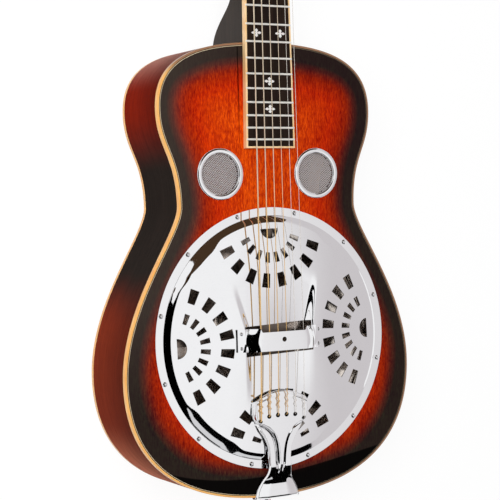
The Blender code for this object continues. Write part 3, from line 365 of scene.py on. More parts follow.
def math_node(operation: str, swapped: bool = False) -> Callable[..., Wire]:
    """Makes an operator of Wire that adds one Math node, with its two values swapped for a reflected one."""

    def operator(self: Wire, other: Value = 0.0) -> Wire:
        """Adds the node to the wire's graph."""
        first, second = (other, self) if swapped else (self, other)
        return self.graph.node("ShaderNodeMath", {0: first, 1: second}, operation=operation)

    return operator


class Wire:
    """A value in a shader graph. Arithmetic on it adds Math nodes."""

    def __init__(self, graph: Graph, socket: bpy.types.NodeSocket) -> None:
        """Wraps a socket of a graph."""
        self.graph = graph
        self.socket = socket

    __add__ = __radd__ = math_node("ADD")
    __mul__ = __rmul__ = math_node("MULTIPLY")
    __sub__, __rsub__ = math_node("SUBTRACT"), math_node("SUBTRACT", swapped=True)
    __truediv__ = math_node("DIVIDE")
    __pow__ = math_node("POWER")
    __abs__ = math_node("ABSOLUTE")
    sine = math_node("SINE")
    larger = math_node("MAXIMUM")

    def step(self, low: float, high: float) -> Wire:
        """0 below low, 1 above high, smooth between."""
        return self.graph.node("ShaderNodeMapRange", {0: self, 1: low, 2: high}, interpolation_type="SMOOTHSTEP")


Value = Union[Wire, float, tuple]


class Graph:
    """Nodes of a material or the world."""

    def __init__(self, tree: bpy.types.NodeTree) -> None:
        """Empties a node tree to work in."""
        self.tree = tree
        tree.nodes.clear()

    def node(self, kind: str, inputs: dict | None = None, out: Union[int, str] = 0, **settings: object) -> Wire:
        """Adds a node.

        Args:
            kind: Blender's type of the node.
            inputs: value or wire for each socket, by name or number.
            out: output that is returned.
            settings: the node's own settings; stops are a ramp's (place, colour) pairs.

        Returns:
            The named output.
        """
        item = self.tree.nodes.new(kind)
        for stop, (place, colour) in enumerate(settings.pop("stops", ())):
            ramp = item.color_ramp.elements
            entry = ramp[stop] if stop < len(ramp) else ramp.new(place)
            entry.position = place
            entry.color = (*colour, 1.0)
        for name, setting in settings.items():
            setattr(item, name, setting)
        for name, value in (inputs or {}).items():
            socket = item.inputs[name]
            if isinstance(value, Wire):
                self.tree.links.new(value.socket, socket)
            elif isinstance(value, tuple) and len(socket.default_value) == 4:
                socket.default_value = (*value, 1.0)
            else:
                socket.default_value = value
        return Wire(self, item.outputs[out]) if item.outputs else Wire(self, None)

    def place(self) -> Wire:
        """Object coordinates."""
        return self.node("ShaderNodeTexCoord", out="Object")

    def axis(self, index: int) -> Wire:
        """One of the object coordinates, 0 for X."""
        return self.node("ShaderNodeSeparateXYZ", {0: self.place()}, out=index)

    def noise(self, stretch: Colour, detail: float = 3.0, rough: float = 0.5) -> Wire:
        """Cloud noise with its own number of features per metre along each axis."""
        spread = self.node("ShaderNodeMapping", {"Vector": self.place(), "Scale": stretch})
        return self.node("ShaderNodeTexNoise", {"Vector": spread, "Scale": 1.0, "Detail": detail, "Roughness": rough})

    def mark(self, name: str) -> Wire:
        """A named value of the mesh's points."""
        return self.node("ShaderNodeAttribute", out="Fac", attribute_name=name)

    def blend(self, factor: Value, first: Value, second: Value) -> Wire:
        """A colour between two colours."""
        return self.node("ShaderNodeMix", {0: factor, 6: first, 7: second}, out=2, data_type="RGBA")

    def shade(self, colour: Value, factor: Value) -> Wire:
        """A colour made darker or brighter by a value."""
        return self.node("ShaderNodeVectorMath", {0: colour, 3: factor}, operation="SCALE")

    def tinted(self, colour: Value, factors: tuple[Value, Value, Value]) -> Wire:
        """A colour with each of its channels multiplied by a value of its own."""
        factor = self.node("ShaderNodeCombineXYZ", dict(enumerate(factors)))
        return self.node("ShaderNodeVectorMath", {0: colour, 1: factor}, operation="MULTIPLY")

    def ramp(self, factor: Value, stops: Sequence[tuple[float, Colour]]) -> Wire:
        """Colour by a value, from (place, colour) stops."""
        return self.node("ShaderNodeValToRGB", {0: factor}, stops=stops)

    def bump(self, height: Wire, distance: float, strength: float = 1.0) -> Wire:
        """Normal of a surface raised by a height times a distance in metres."""
        return self.node("ShaderNodeBump", {"Height": height, "Distance": distance, "Strength": strength})

    def shown(self, shader: Wire) -> None:
        """Ends a material in a shader."""
        self.node("ShaderNodeOutputMaterial", {"Surface": shader})

    def surface(self, sockets: dict[str, Value]) -> None:
        """Ends a material in a Principled shader with these sockets."""
        self.shown(self.node("ShaderNodeBsdfPrincipled", sockets))


def new_material(name: str) -> tuple[bpy.types.Material, Graph]:
    """A material with no nodes yet, and the graph to fill it by."""
    made = bpy.data.materials.new(name)
    made.use_nodes = True
    return made, Graph(made.node_tree)


@dataclass(frozen=True)
class Finish:
    """A finish of the record, made into a material once."""

    name: str
    slot: str

    def material(self) -> bpy.types.Material:
        """The material, made at its first use."""
        made = bpy.data.materials.get(self.name)
        if made is None:
            made, graph = new_material(self.name)
            self.dress(graph)
        return made

    def dress(self, graph: Graph) -> None:
        """Fills the material's nodes."""
        raise NotImplementedError


@dataclass(frozen=True)
class BurstLacquer(Finish):
    """Mahogany under a sunburst: colour by the distance from the panel's edge, in the mark named edge.

    The top alone has purfling, and two painted reflections of its gloss: a dark region at the tail and a thin dark
    line by the board.
    """

    # purfling also switches on the painted reflections of the gloss
    purfling: bool = True
    middle: Colour = (0.61, 0.054, 0.0018)
    glow: Colour = (0.49, 0.022, 0.0010)
    warm: Colour = (0.26, 0.0140, 0.0018)
    deep: Colour = (0.075, 0.0125, 0.0080)
    edge: Colour = (0.020, 0.0130, 0.0100)
    painted_edge_sheen: Colour = (1.0, 0.80, 0.66)
    ivory: Colour = (0.62, 0.50, 0.33)
    burst_width: float = 0.1
    stops: Series = (0.085, 0.155, 0.250, 0.43, 0.80)
    wander: float = 0.010
    lower_shift: float = 0.001
    tail_shift: float = 0.009
    neck_shift: float = 0.005
    side_shift: float = 0.004
    line: Pair = (0.00045, 0.00100)
    painted_reflection_cubic: tuple[float, float, float, float] = (-3.05, 0.962, 0.0691, -0.1541)
    painted_line_x: float = -0.0352
    coat: float = 0.05

    def mirrored(self, colour: Wire, x: Wire, y: Wire, graph: Graph) -> Wire:
        """The colour with two painted reflections of the top's gloss: dark behind a cubic of x at the tail, and a
        dark line by the board.
        """
        cubic, square, slope, level = self.painted_reflection_cubic
        ahead = y - (((cubic * x + square) * x + slope) * x + level)
        # painted reflection: dark behind the cubic at the tail, a dark thing mirrored in the gloss
        colour = graph.shade(colour, 1.0 - 0.93 * (1.0 - ahead.step(-0.0008, 0.0008)))
        # painted reflection: a thin dark line beside the board's edge
        painted_line = (1.0 - abs(x - self.painted_line_x).step(0.0004, 0.0010)) * y.step(0.18, 0.27)
        return graph.shade(colour, 1.0 - 0.75 * painted_line)

    def dress(self, graph: Graph) -> None:
        """Burst, straight grain, short dark pores, a faint painted sheen near the bass edge, and an edge line of
        ivory that fades on the treble side as painted shade.
        """
        edge = graph.mark("edge")
        drift = graph.noise((9.0, 5.0, 9.0), 2.0)
        x, y = graph.axis(0), graph.axis(1)
        treble = x.step(-0.05, 0.07)
        upper = y.step(0.09, 0.24)
        depth = edge + self.wander * (drift - 0.5) - self.lower_shift * (1.0 - upper)
        depth = depth - self.tail_shift * (1.0 - y.step(-0.13, 0.02)) - self.neck_shift * y.step(0.25, 0.31)
        depth = depth - self.side_shift * treble * upper
        colours = (self.edge, self.deep, self.warm, self.glow, self.middle)
        colour = graph.ramp(depth / self.burst_width, ((0.0, self.edge), *zip(self.stops, colours)))
        grain = graph.noise((330.0, 13.0, 330.0), 4.0, 0.6)
        pores = graph.noise((1900.0, 60.0, 1900.0), 2.0).step(0.56, 0.70)
        flecks = graph.noise((800.0, 180.0, 800.0), 3.0, 0.65)
        figure = graph.noise((60.0, 14.0, 60.0), 3.0)
        clear = 0.35 + 0.65 * edge.step(0.008, 0.026)
        uneven = 0.5 * (grain - 0.5) + 2.1 * (flecks - 0.5) + 0.5 * (figure - 0.5)
        tone = (1.0 + clear * uneven).larger(0.2) * (1.0 - 0.25 * pores) * (1.0 - 0.13 * treble * upper)
        colour = graph.tinted(colour, (tone, tone ** 2.2, tone))
        # painted sheen: a faint pale reflection on the dark edge of the bass side
        painted_edge_sheen = (1.0 - x.step(-0.15, 0.04)) * (1.0 - edge.step(0.014, 0.034)) * y.step(-0.09, 0.06)
        colour = graph.blend(0.020 * painted_edge_sheen, colour, self.painted_edge_sheen)
        if self.purfling:
            # painted reflections of the gloss, on the top alone
            colour = self.mirrored(colour, x, y, graph)
            inner, outer = self.line
            soft = 0.00005
            line = edge.step(inner - soft, inner + soft) * (1.0 - edge.step(outer - soft, outer + soft))
            # painted shade: the ivory line fades on the treble side
            colour = graph.blend(line * (1.0 - 0.8 * x.step(-0.02, 0.06)), colour, self.ivory)
        graph.surface({"Base Color": colour, "Roughness": 0.38 + 0.12 * grain, "Specular IOR Level": 0.0,
                       "Coat Weight": self.coat, "Coat Roughness": 0.02,
                       "Normal": graph.bump(grain - 0.6 * pores, 0.00006)})


@dataclass(frozen=True)
class SideLacquer(Finish):
    """Mahogany ribs: red brown at the bouts, nearly black at the waist, darker towards the top edge, with painted
    sheen at the tail and at the upper shoulder.
    """

    upper: Colour = (0.185, 0.0085, 0.0005)
    lower: Colour = (0.165, 0.0205, 0.0065)
    # tail: painted sheen, a pale brown reflection towards the tail end
    tail: Colour = (0.520, 0.1600, 0.0850)
    # sheen: painted sheen, a pale reflection at the upper shoulder by the neck
    sheen: Colour = (0.420, 0.2050, 0.1600)
    dark: Colour = (0.017, 0.0115, 0.0090)
    waist_y: float = 0.125
    coat: float = 0.05

    def dress(self, graph: Graph) -> None:
        """Grain along the body, with a burst by place along it and by height, and painted sheen at the tail and the
        upper shoulder.
        """
        y = graph.axis(1)
        along = abs(y - self.waist_y)
        height = graph.axis(2)
        cloud = graph.noise((14.0, 9.0, 14.0), 2.0) - 0.5
        burst = (along + 0.03 * cloud).step(0.050, 0.118)
        brown = graph.blend(y.step(0.0, 0.2), self.lower, self.upper)
        # painted sheen towards the tail
        brown = graph.blend(y.step(-0.170, -0.085), self.tail, brown)
        # painted sheen at the upper shoulder
        brown = graph.blend(y.step(0.265, 0.325), brown, self.sheen)
        rim = 1.12 - 0.50 * (height + 0.012 * cloud).step(0.015, 0.088)
        streaks = graph.noise((30.0, 10.0, 230.0), 3.0, 0.6)
        grain = graph.noise((90.0, 24.0, 700.0), 4.0, 0.6)
        pores = graph.noise((260.0, 70.0, 2100.0), 2.0).step(0.58, 0.72)
        colour = graph.blend(burst, self.dark, graph.shade(brown, rim))
        colour = graph.shade(colour, (0.37 + 0.66 * grain + 0.60 * streaks) * (1.0 - 0.35 * pores))
        graph.surface({"Base Color": colour, "Roughness": 0.36 + 0.12 * grain, "Specular IOR Level": 0.0,
                       "Coat Weight": self.coat, "Coat Roughness": 0.03,
                       "Normal": graph.bump(grain - 0.6 * pores, 0.00005)})


@dataclass(frozen=True)
class Wood(Finish):
    """Plain wood with streaks, figure and pores along one axis."""

    light: Colour = (0.5, 0.33, 0.18)
    dark: Colour = (0.3, 0.18, 0.09)
    streaks: Colour = (420.0, 10.0, 420.0)
    rough: float = 0.5
    coat: float = 0.0
    specular: float = 0.35

    def dress(self, graph: Graph) -> None:
        """Two scales of streaks and fine pores."""
        broad = graph.noise(tuple(0.22 * s for s in self.streaks), 3.0)
        fine = graph.noise(self.streaks, 4.0, 0.65)
        pores = graph.noise(tuple(3.1 * s for s in self.streaks), 2.0).step(0.60, 0.74)
        colour = graph.blend((0.55 * broad + 0.6 * fine).step(0.30, 0.85), self.dark, self.light)
        colour = graph.shade(colour, 1.0 - 0.45 * pores)
        graph.surface({"Base Color": colour, "Roughness": self.rough + 0.15 * (fine - 0.5),
                       "Specular IOR Level": self.specular, "Coat Weight": self.coat, "Coat Roughness": 0.08,
                       "Normal": graph.bump(fine - 0.8 * pores, 0.00008)})


@dataclass(frozen=True)
class Celluloid(Finish):
    """Aged binding, cream gone orange under the lacquer."""

    pale: Colour = (0.88, 0.62, 0.34)
    amber: Colour = (0.78, 0.46, 0.18)
    # colour of the painted shade on the treble side and at the neck, or none
    painted_shade: Colour | None = None

    def dress(self, graph: Graph) -> None:
        """Slow clouds of amber and fine specks. With painted shade set, the strip goes dark brown on the treble side
        and at the neck.
        """
        cloud = graph.noise((38.0, 38.0, 38.0), 4.0)
        specks = graph.noise((1300.0, 1300.0, 1300.0), 1.0).step(0.70, 0.80)
        colour = graph.blend(cloud.step(0.30, 0.75), self.pale, self.amber)
        if self.painted_shade:
            # painted shade: the binding darkens on the treble side and by the neck
            far = graph.axis(0).step(-0.02, 0.06).larger(graph.axis(1).step(0.275, 0.297))
            colour = graph.blend(far, colour, self.painted_shade)
        graph.surface({"Base Color": graph.shade(colour, 1.0 - 0.35 * specks), "Roughness": 0.30 + 0.15 * cloud,
                       "Coat Weight": 0.4, "Coat Roughness": 0.05})


@dataclass(frozen=True)
class Metal(Finish):
    """Bare or plated metal with faint clouds in its polish and fine scratches along one axis."""

    tint: Colour = (0.90, 0.90, 0.915)
    rough: float = 0.03
    haze: float = 0.03
    scratch: float = 0.0
    lines: Colour = (40.0, 2600.0, 2600.0)
    metal: float = 1.0

    def dress(self, graph: Graph) -> None:
        """Cloudy roughness and a scratch bump."""
        cloud = graph.noise((55.0, 55.0, 55.0), 4.0)
        lines = graph.noise(self.lines, 2.0)
        duller = tuple(0.965 * c for c in self.tint)
        tint = graph.shade(graph.blend(cloud, self.tint, duller), 1.0 - 0.05 * lines)
        sockets = {"Base Color": tint, "Roughness": self.rough + self.haze * cloud * lines, "Metallic": self.metal}
        if self.scratch:
            sockets["Normal"] = graph.bump(lines, self.scratch)
        graph.surface(sockets)


@dataclass(frozen=True)
class SpunMetal(Finish):
    """Spun sheet: fine rings about the resonator's axis."""

    tint: Colour = (0.86, 0.78, 0.71)

    def dress(self, graph: Graph) -> None:
        """Rings by the distance from the axis, with wandering strength."""
        x, y = graph.axis(0), graph.axis(1) - AXIS_Y
        radius = (x * x + y * y) ** 0.5
        cloud = graph.noise((70.0, 70.0, 70.0), 3.0)
        rings = 0.5 + 0.5 * (radius * 7400.0 + 6.0 * cloud).sine()
        graph.surface({"Base Color": graph.shade(self.tint, 0.72 + 0.3 * cloud + 0.1 * rings), "Metallic": 1.0,
                       "Roughness": 0.09 + 0.10 * cloud, "Normal": graph.bump(rings, 0.00001)})


@dataclass(frozen=True)
class Wound(Finish):
    """Wound string: fine wire laid round the core, by the metres along the string."""

    tint: Colour = (0.80, 0.46, 0.17)
    painted_pale_reflection: Colour = (0.86, 0.72, 0.54)
    pitch: float = 0.00032

    def dress(self, graph: Graph) -> None:
        """A wave along the string, darker between the turns as painted shade in the grooves, and paler over the board
        as a painted reflection.
        """
        place = graph.node("ShaderNodeTexCoord", out="UV")
        along = graph.node("ShaderNodeSeparateXYZ", {0: place}, out=1)
        around = graph.node("ShaderNodeSeparateXYZ", {0: place}, out=0)
        wave = 0.5 + 0.5 * ((along / self.pitch + around) * (2 * math.pi)).sine()
        age = graph.noise((120.0, 40.0, 120.0), 3.0)
        # painted reflection: the string turns paler towards the neck, over the board
        tint = graph.blend(graph.axis(1).step(0.10, 0.20), self.tint, self.painted_pale_reflection)
        # painted shade: darker in the grooves between the turns
        graph.surface({"Base Color": graph.shade(tint, (0.70 + 0.30 * wave) * (0.8 + 0.4 * age)),
                       "Metallic": 0.6, "Roughness": 0.28 + 0.2 * age, "Normal": graph.bump(wave, 0.00004)})


@dataclass(frozen=True)
class Pearl(Finish):
    """Shell inlay: patches that turn between rose, green and silver."""

    green: Colour = (0.74, 0.80, 0.76)
    silver: Colour = (0.86, 0.84, 0.80)
    rose: Colour = (0.82, 0.70, 0.72)

    def dress(self, graph: Graph) -> None:
        """Colour by two noises, with a clear coat."""
        patch = graph.noise((520.0, 520.0, 520.0), 2.0)
        sheen = graph.noise((240.0, 900.0, 240.0), 3.0)
        colour = graph.ramp(patch, ((0.30, self.green), (0.50, self.silver), (0.70, self.rose)))
        graph.surface({"Base Color": graph.shade(colour, 0.72 + 0.5 * sheen), "Roughness": 0.18 + 0.2 * sheen,
                       "Metallic": 0.15, "Coat Weight": 0.8, "Coat Roughness": 0.05})


@dataclass(frozen=True)
class Bone(Finish):
    """Polished bone with faint growth streaks."""

    cream: Colour = (0.83, 0.77, 0.62)
    tan: Colour = (0.70, 0.61, 0.44)

    def dress(self, graph: Graph) -> None:
        """Cream with streaks across."""
        streak = graph.noise((160.0, 900.0, 240.0), 3.0)
        graph.surface({"Base Color": graph.blend(streak, self.cream, self.tan), "Roughness": 0.28 + 0.15 * streak,
                       "Normal": graph.bump(streak, 0.00003)})


BURST_TOP = BurstLacquer("burst_top_lacquer", "burst_top")
BURST_BACK = BurstLacquer("burst_back_lacquer", "burst_side", purfling=False, middle=(0.24, 0.030, 0.008),
                          glow=(0.17, 0.019, 0.006), warm=(0.105, 0.0125, 0.005), deep=(0.05, 0.007, 0.004))
BURST_SIDE = SideLacquer("burst_side_lacquer", "burst_side")
BINDING = Celluloid("amber_binding", "cream_binding", pale=(0.84, 0.44, 0.115), amber=(0.76, 0.34, 0.065))
# the top binding carries painted shade on the treble side and by the neck
TOP_BINDING = Celluloid("painted_shade_binding", "cream_binding", pale=BINDING.pale, amber=BINDING.amber,
                        painted_shade=(0.28, 0.135, 0.062))
BOARD_BINDING = Celluloid("pale_binding", "cream_binding")
BARE_WOOD = Wood("bare_spruce", "raw_wood", rough=0.62)
NECK_WOOD = Wood("dark_stained_neck", "dark_neck", light=(0.044, 0.032, 0.025), dark=(0.026, 0.019, 0.015),
                 streaks=(260.0, 12.0, 260.0), rough=0.40, coat=0.03, specular=0.05)
FELT = Wood("black_felt", "dark_neck", light=(0.006, 0.005, 0.005), dark=(0.003, 0.003, 0.003), rough=0.9,
            specular=0.0)
ROSEWOOD = Wood("oiled_rosewood", "rosewood", light=(0.0240, 0.0125, 0.0080), dark=(0.0060, 0.0040, 0.0032),
                streaks=(640.0, 18.0, 640.0), rough=0.60, specular=0.06)
MAPLE = Wood("smoked_maple", "maple", light=(0.075, 0.055, 0.040), dark=(0.035, 0.025, 0.019),
             streaks=(30.0, 700.0, 700.0), rough=0.5)
CHROME = Metal("polished_chrome", "chrome")
NICKEL = Metal("fret_nickel", "steel", tint=(0.93, 0.90, 0.84), rough=0.26, haze=0.10, scratch=0.000005, metal=0.45)
STEEL = Metal("drawn_steel", "steel", tint=(0.90, 0.84, 0.77), rough=0.20, haze=0.10, scratch=0.000006, metal=0.7)
BLACKED = Metal("blackened_steel", "steel", tint=(0.24, 0.22, 0.20), rough=0.32, haze=0.15)
CAST = Metal("cast_bridge", "cast_aluminium", tint=(0.27, 0.22, 0.19), rough=0.40, haze=0.20, scratch=0.00008,
             lines=(700.0, 700.0, 700.0))
CLOTH = Metal("screen_wire_cloth", "screen_wire", tint=(0.62, 0.56, 0.55), rough=0.40, haze=0.20, metal=0.25)
SPUN = SpunMetal("spun_cone", "spun_aluminium")
BRONZE = Wound("bronze_winding_wire", "bronze_winding", tint=(1.0, 0.64, 0.26))
BRASS = Metal("brass_barrel", "steel", tint=(0.78, 0.55, 0.25), rough=0.22, haze=0.15)
PEARL = Pearl("pearl_inlay", "rosewood")
BONE = Bone("polished_bone", "bone")


def add(name: str, surface: Surface, finish: Finish, body: str = ROOT, replaces: Sequence[str] = (),
        sharp: float = 40.0) -> bpy.types.Object:
    """Makes a piece of a surface, dresses it and ties it to the frame.

    Args:
        name: name of the piece.
        surface: its points and faces.
        finish: its finish.
        body: body that it rides on.
        replaces: CAD nodes that it stands for.
        sharp: angle in degrees over which an edge stays sharp.

    Returns:
        The piece.
    """
    item = surface.build(name, sharp)
    item.data.materials.append(finish.material())
    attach(item, body)
    if replaces:
        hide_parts(*replaces)
    LOG.info("%s: %d faces, %s, on %s", name, len(item.data.polygons), finish.name, body)
    return item


def dress_node(node: str, finish: Finish) -> None:
    """Gives a CAD node that stays in view a better material."""
    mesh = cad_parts[node].data
    mesh.materials.clear()
    mesh.materials.append(finish.material())
    LOG.info("%s: CAD shape kept, %s", node, finish.name)


def ease(item: bpy.types.Object, width: float, angle: float) -> None:
    """Rounds a piece's edges that are sharper than an angle in degrees."""
    bevel = item.modifiers.new("eased_edges", "BEVEL")
    bevel.width, bevel.segments = width, 2
    bevel.limit_method, bevel.angle_limit = "ANGLE", math.radians(angle)


def screw_head(radius: float, height: float) -> Surface:
    """Domed screw head with a cross recess: h(r) = height * (1 - fall * (r / R)^2), less the recess in two bars."""
    steps, fall, recess, skirt = 40, 0.8, 0.55, 0.2
    bar_half, bar_reach = 0.17, 0.62
    rings = np.concatenate([np.linspace(0.08, 1.0, 9), [1.0]]) * radius
    sections = np.empty((len(rings), steps, 3))
    sections[..., :2] = rings[:, None, None] * circle(1.0, steps)
    sections[..., 2] = height * (1.0 - fall * (rings[:, None] / radius) ** 2)
    reach = np.abs(sections[..., :2]) / radius
    bars = (reach.min(axis=2) < bar_half) & (reach.max(axis=2) < bar_reach)
    sections[..., 2] -= recess * height * bars
    sections[-1, :, 2] = -skirt * height
    return lofted(sections)


@dataclass
class SoundBody:
    """Soundboard, back, ribs and bindings on one outline of four curves to a half."""

    tail: float = -0.178
    joint: float = 0.3175
    upper: float = 0.1326
    upper_y: float = 0.2451
    waist: float = 0.1099
    waist_y: float = 0.1411
    lower: float = 0.1779
    lower_y: float = -0.0401
    top_thick: float = 0.004
    back_thick: float = 0.0035
    rib_thick: float = 0.0028
    binding_width: float = 0.0022
    binding_height: float = 0.0055
    well_mouth: float = 0.1338
    screen_x: float = 0.060
    screen_y: float = 0.175
    screen_hole: float = 0.0245
    pulls: Series = (0.623, 0.663, 0.447, 0.163, 0.528, 0.403, 0.763, 0.615)
    samples: int = 60
    binding_ease: float = 0.0007
    edge_rings: Series = (0.00045, 0.001, 0.0016, 0.003, 0.006, 0.010, 0.015, 0.021, 0.028, 0.036)
    coarse_from: float = 0.002
    grid_x: Pair = (-0.18, 0.181)
    grid_y: Pair = (-0.18, 0.33)
    grid_pitch: float = 0.008
    grid_clear: float = 0.042
    mark_spacing: float = 0.0008
    rib_rows: int = 9

    def half(self, inset: float = 0.0) -> Array:
        """Treble half of the outline from tail to neck, moved inwards along its normal.

        Each of its four cubics leaves and arrives along X or Y, and its handles reach by the pulls.
        """
        marks = ((0.0, self.tail), (self.lower, self.lower_y), (self.waist, self.waist_y),
                 (self.upper, self.upper_y), (0.0, self.joint))
        curves = []
        for (x, y), (next_x, next_y), leave, arrive in zip(marks, marks[1:], self.pulls[::2], self.pulls[1::2]):
            first = (x, y + leave * (next_y - y)) if x else (leave * next_x, y)
            second = (next_x, next_y - arrive * (next_y - y)) if next_x else (arrive * x, next_y)
            curves.append(bezier(((x, y), first, second, (next_x, next_y)), self.samples))
        points = np.concatenate([curves[0][0]] + [curve[0][1:] for curve in curves[1:]])
        along = unit(np.concatenate([curves[0][1]] + [curve[1][1:] for curve in curves[1:]]))
        return points - inset * np.stack([along[:, 1], -along[:, 0]], axis=1)

    def outline(self, inset: float = 0.0) -> Array:
        """Whole outline, counter-clockwise from the tail."""
        treble = self.half(inset)
        return np.concatenate([treble, treble[-2:0:-1] * (-1, 1)])

    def panel(self, holes: list[Array], low: float, high: float, upwards: bool) -> Surface:
        """A flat panel inside the binding, marked with the distance from its edge."""
        inset = self.binding_width + GAP
        edge = self.outline(inset)
        rings = [self.outline(inset + step)[::2 if step > self.coarse_from else 1] for step in self.edge_rings]
        middle = grid(np.arange(*self.grid_x, self.grid_pitch), np.arange(*self.grid_y, self.grid_pitch))
        sheet = Sheet(edge, holes, np.concatenate([*rings, away(middle, [edge], self.grid_clear)]))
        face, back = (high, low) if upwards else (low, high)

        def lift(plane: Array) -> Array:
            """Plane points at the height of the outer face, mirrored where that face looks down."""
            return raised(plane if upwards else plane * (-1, 1), face)

        item = sheet.solid(lift, abs(face - back))
        item.marks["edge"] = near(item.points[:, :2], dense(edge, self.mark_spacing))
        return item

    def rib(self, side: Side) -> Surface:
        """One bent side: outer and inner outline between the two bindings."""
        low, high = self.binding_height + GAP, TOP - self.binding_height - GAP
        outer, inner = self.half(), self.half(self.rib_thick)
        for edge in (outer, inner):
            edge[[0, -1], 0] = GAP / 2
        loop = [raised(outer * (side.value, 1), z) for z in np.linspace(low, high, self.rib_rows)]
        loop += [raised(inner * (side.value, 1), z) for z in (high, low)]
        return lofted(np.stack(loop, axis=1))

    def edging(self, low: float, high: float, upwards: bool) -> Surface:
        """Binding strip round the whole body, its outer corner rounded."""
        bevel = self.binding_ease
        corner, seat = (high, low) if upwards else (low, high)
        inward = -1.0 if upwards else 1.0
        turn = np.linspace(0.0, math.pi / 2, 5)
        profile = [(0.0, seat)]
        profile += [(bevel * (1 - math.cos(a)), corner + inward * bevel * (1 - math.sin(a))) for a in turn]
        profile += [(self.binding_width, corner), (self.binding_width, seat)]
        return lofted(np.stack([raised(self.outline(inset), z) for inset, z in profile]), ring=True)

    def build(self) -> None:
        """Makes the panels, ribs and bindings, and dresses the wood inside."""
        holes = [circle(self.well_mouth, 144, (0.0, AXIS_Y))[::-1]]
        holes += [circle(self.screen_hole, 64, (side.value * self.screen_x, self.screen_y)) for side in Side]
        top = self.panel(holes, TOP - self.top_thick, TOP, True)
        add("top_panel", top, BURST_TOP, replaces=("soundboard",))
        add("back_panel", self.panel([], 0.0, self.back_thick, False), BURST_BACK, replaces=("back_plate",))
        for side in Side:
            add(f"rib_{side.label}", self.rib(side), BURST_SIDE, replaces=(f"side_{side.label}",))
        add("top_edging", self.edging(TOP - self.binding_height, TOP, True), TOP_BINDING, replaces=("top_binding",))
        add("back_edging", self.edging(GAP, self.binding_height, False), BINDING, replaces=("back_binding",))
        linings = [f"{face}_lining_{side.label}" for side in Side for face in ("top", "back")]
        for node in ("neck_block", "tail_block", "top_brace", "back_brace", "soundwell", *linings):
            dress_node(node, BARE_WOOD)


@dataclass
class Screens:
    """Chrome rings with woven wire cloth in the two sound holes."""

    x: float = 0.060
    y: float = 0.175
    ring: float = 0.0279
    cloth: float = 0.0222
    skirt: float = 0.0020
    height: float = 0.0014
    depth: float = 0.0030
    pitch: float = 0.00180
    wire: float = 0.00036
    crown_power: float = 0.7
    lay: float = 0.6

    def rim(self) -> Surface:
        """Ring with a rounded crown: height by a power of a sine between its edges, and a skirt below."""
        seat = TOP + GAP
        outer, inner = self.ring, self.cloth
        turn = np.linspace(0.0, math.pi, 15)
        middle, half = (outer + inner) / 2, (outer - inner) / 2
        crown = np.column_stack([middle + half * np.cos(turn), seat + self.height * np.sin(turn) ** self.crown_power])
        low = TOP - self.depth
        skirt = [(inner, low), (inner + self.skirt, low), (inner + self.skirt, seat)]
        return turned(np.concatenate([crown, skirt]), 96, ring=True)

    def weave(self) -> Surface:
        """Two crossing sets of wires that pass over and under: z = a * cos(pi * (s / pitch + n))."""
        reach = self.cloth - GAP
        count = int(reach / self.pitch)
        number = np.arange(-count, count + 1)[:, None]
        offset = number * self.pitch
        half = np.sqrt(np.maximum(reach ** 2 - offset ** 2, 1e-8))
        run = np.linspace(-1.0, 1.0, 4 * count + 1)[None] * half
        sides = circle(1.0, 4)
        sets = []
        for turn in (0, 1):
            wave = self.wire * np.cos(math.pi * (run / self.pitch + number + turn))
            centre = np.stack([run, offset + 0.0 * run, wave], axis=-1)
            if turn:
                centre = centre[..., [1, 0, 2]]
            across = np.array((0.0, 1.0, 0.0) if not turn else (1.0, 0.0, 0.0))
            spread = sides[:, :1] * across + sides[:, 1:] * np.array((0.0, 0.0, 1.0))
            sections = centre[:, :, None] + self.wire * spread[None, None]
            sets += [lofted(wire) for wire in sections]
        return Surface.joined(sets)

    def build(self) -> None:
        """Makes both screens."""
        for side in Side:
            place = Matrix.Translation((side.value * self.x, self.y, 0.0))
            add(f"screen_rim_{side.label}", self.rim().moved(place), CHROME,
                replaces=(f"screen_ring_{side.label}",))
            low = TOP - self.depth + 2 * self.wire
            laid = place @ Matrix.Translation((0.0, 0.0, low)) @ Matrix.Rotation(self.lay, 4, "Z")
            cloth = self.weave().moved(laid)
            add(f"screen_cloth_{side.label}", cloth, CLOTH, replaces=(f"screen_mesh_{side.label}",))


@dataclass
class Resonator:
    """Spun cone under the coverplate, with the cast bridge, saddles and screw that stand on it."""

    radius: float = 0.1332
    rim_width: float = 0.0065
    sheet: float = 0.0008
    rim_depth: float = 0.0085
    valley_radius: float = 0.055
    valley_depth: float = 0.028
    peak_rise: float = 0.014
    screw_hole: float = 0.0018

    def cone(self) -> Surface:
        """Cone profile: flat rim, straight flank to a round valley, inner cone up to the screw hole."""
        rim = TOP - self.rim_depth
        well = self.radius - self.rim_width
        bend = self.rim_width / 3
        valley = rim - self.valley_depth
        peak = valley + self.peak_rise
        knots = np.array((
            (self.radius, rim), (well - bend, rim), (well - 2 * bend, rim - 2 * bend),
            ((well + self.valley_radius) / 2, (rim + valley) / 2),
            (self.valley_radius + bend, valley + bend / 2), (self.valley_radius - bend, valley + bend / 2),
            (self.valley_radius / 2, (valley + peak) / 2), (2 * self.screw_hole, peak), (self.screw_hole, peak)))
        run = run_along(knots)
        upper = np.column_stack([np.interp(np.linspace(0.0, run[-1], 90), run, knots[:, i]) for i in (0, 1)])
        return turned(np.concatenate([upper + (0.0, self.sheet), upper[::-1]]), 144, ring=True)

    def build(self) -> None:
        """Makes the cone and dresses the bridge."""
        add("cone_spun", self.cone().moved(Matrix.Translation((0.0, AXIS_Y, 0.0))), SPUN,
            replaces=("resonator_cone",))
        dress_node("spider_bridge", CAST)
        dress_node("tension_screw", BLACKED)
        for side in Side:
            dress_node(f"saddle_{side.label}", MAPLE)


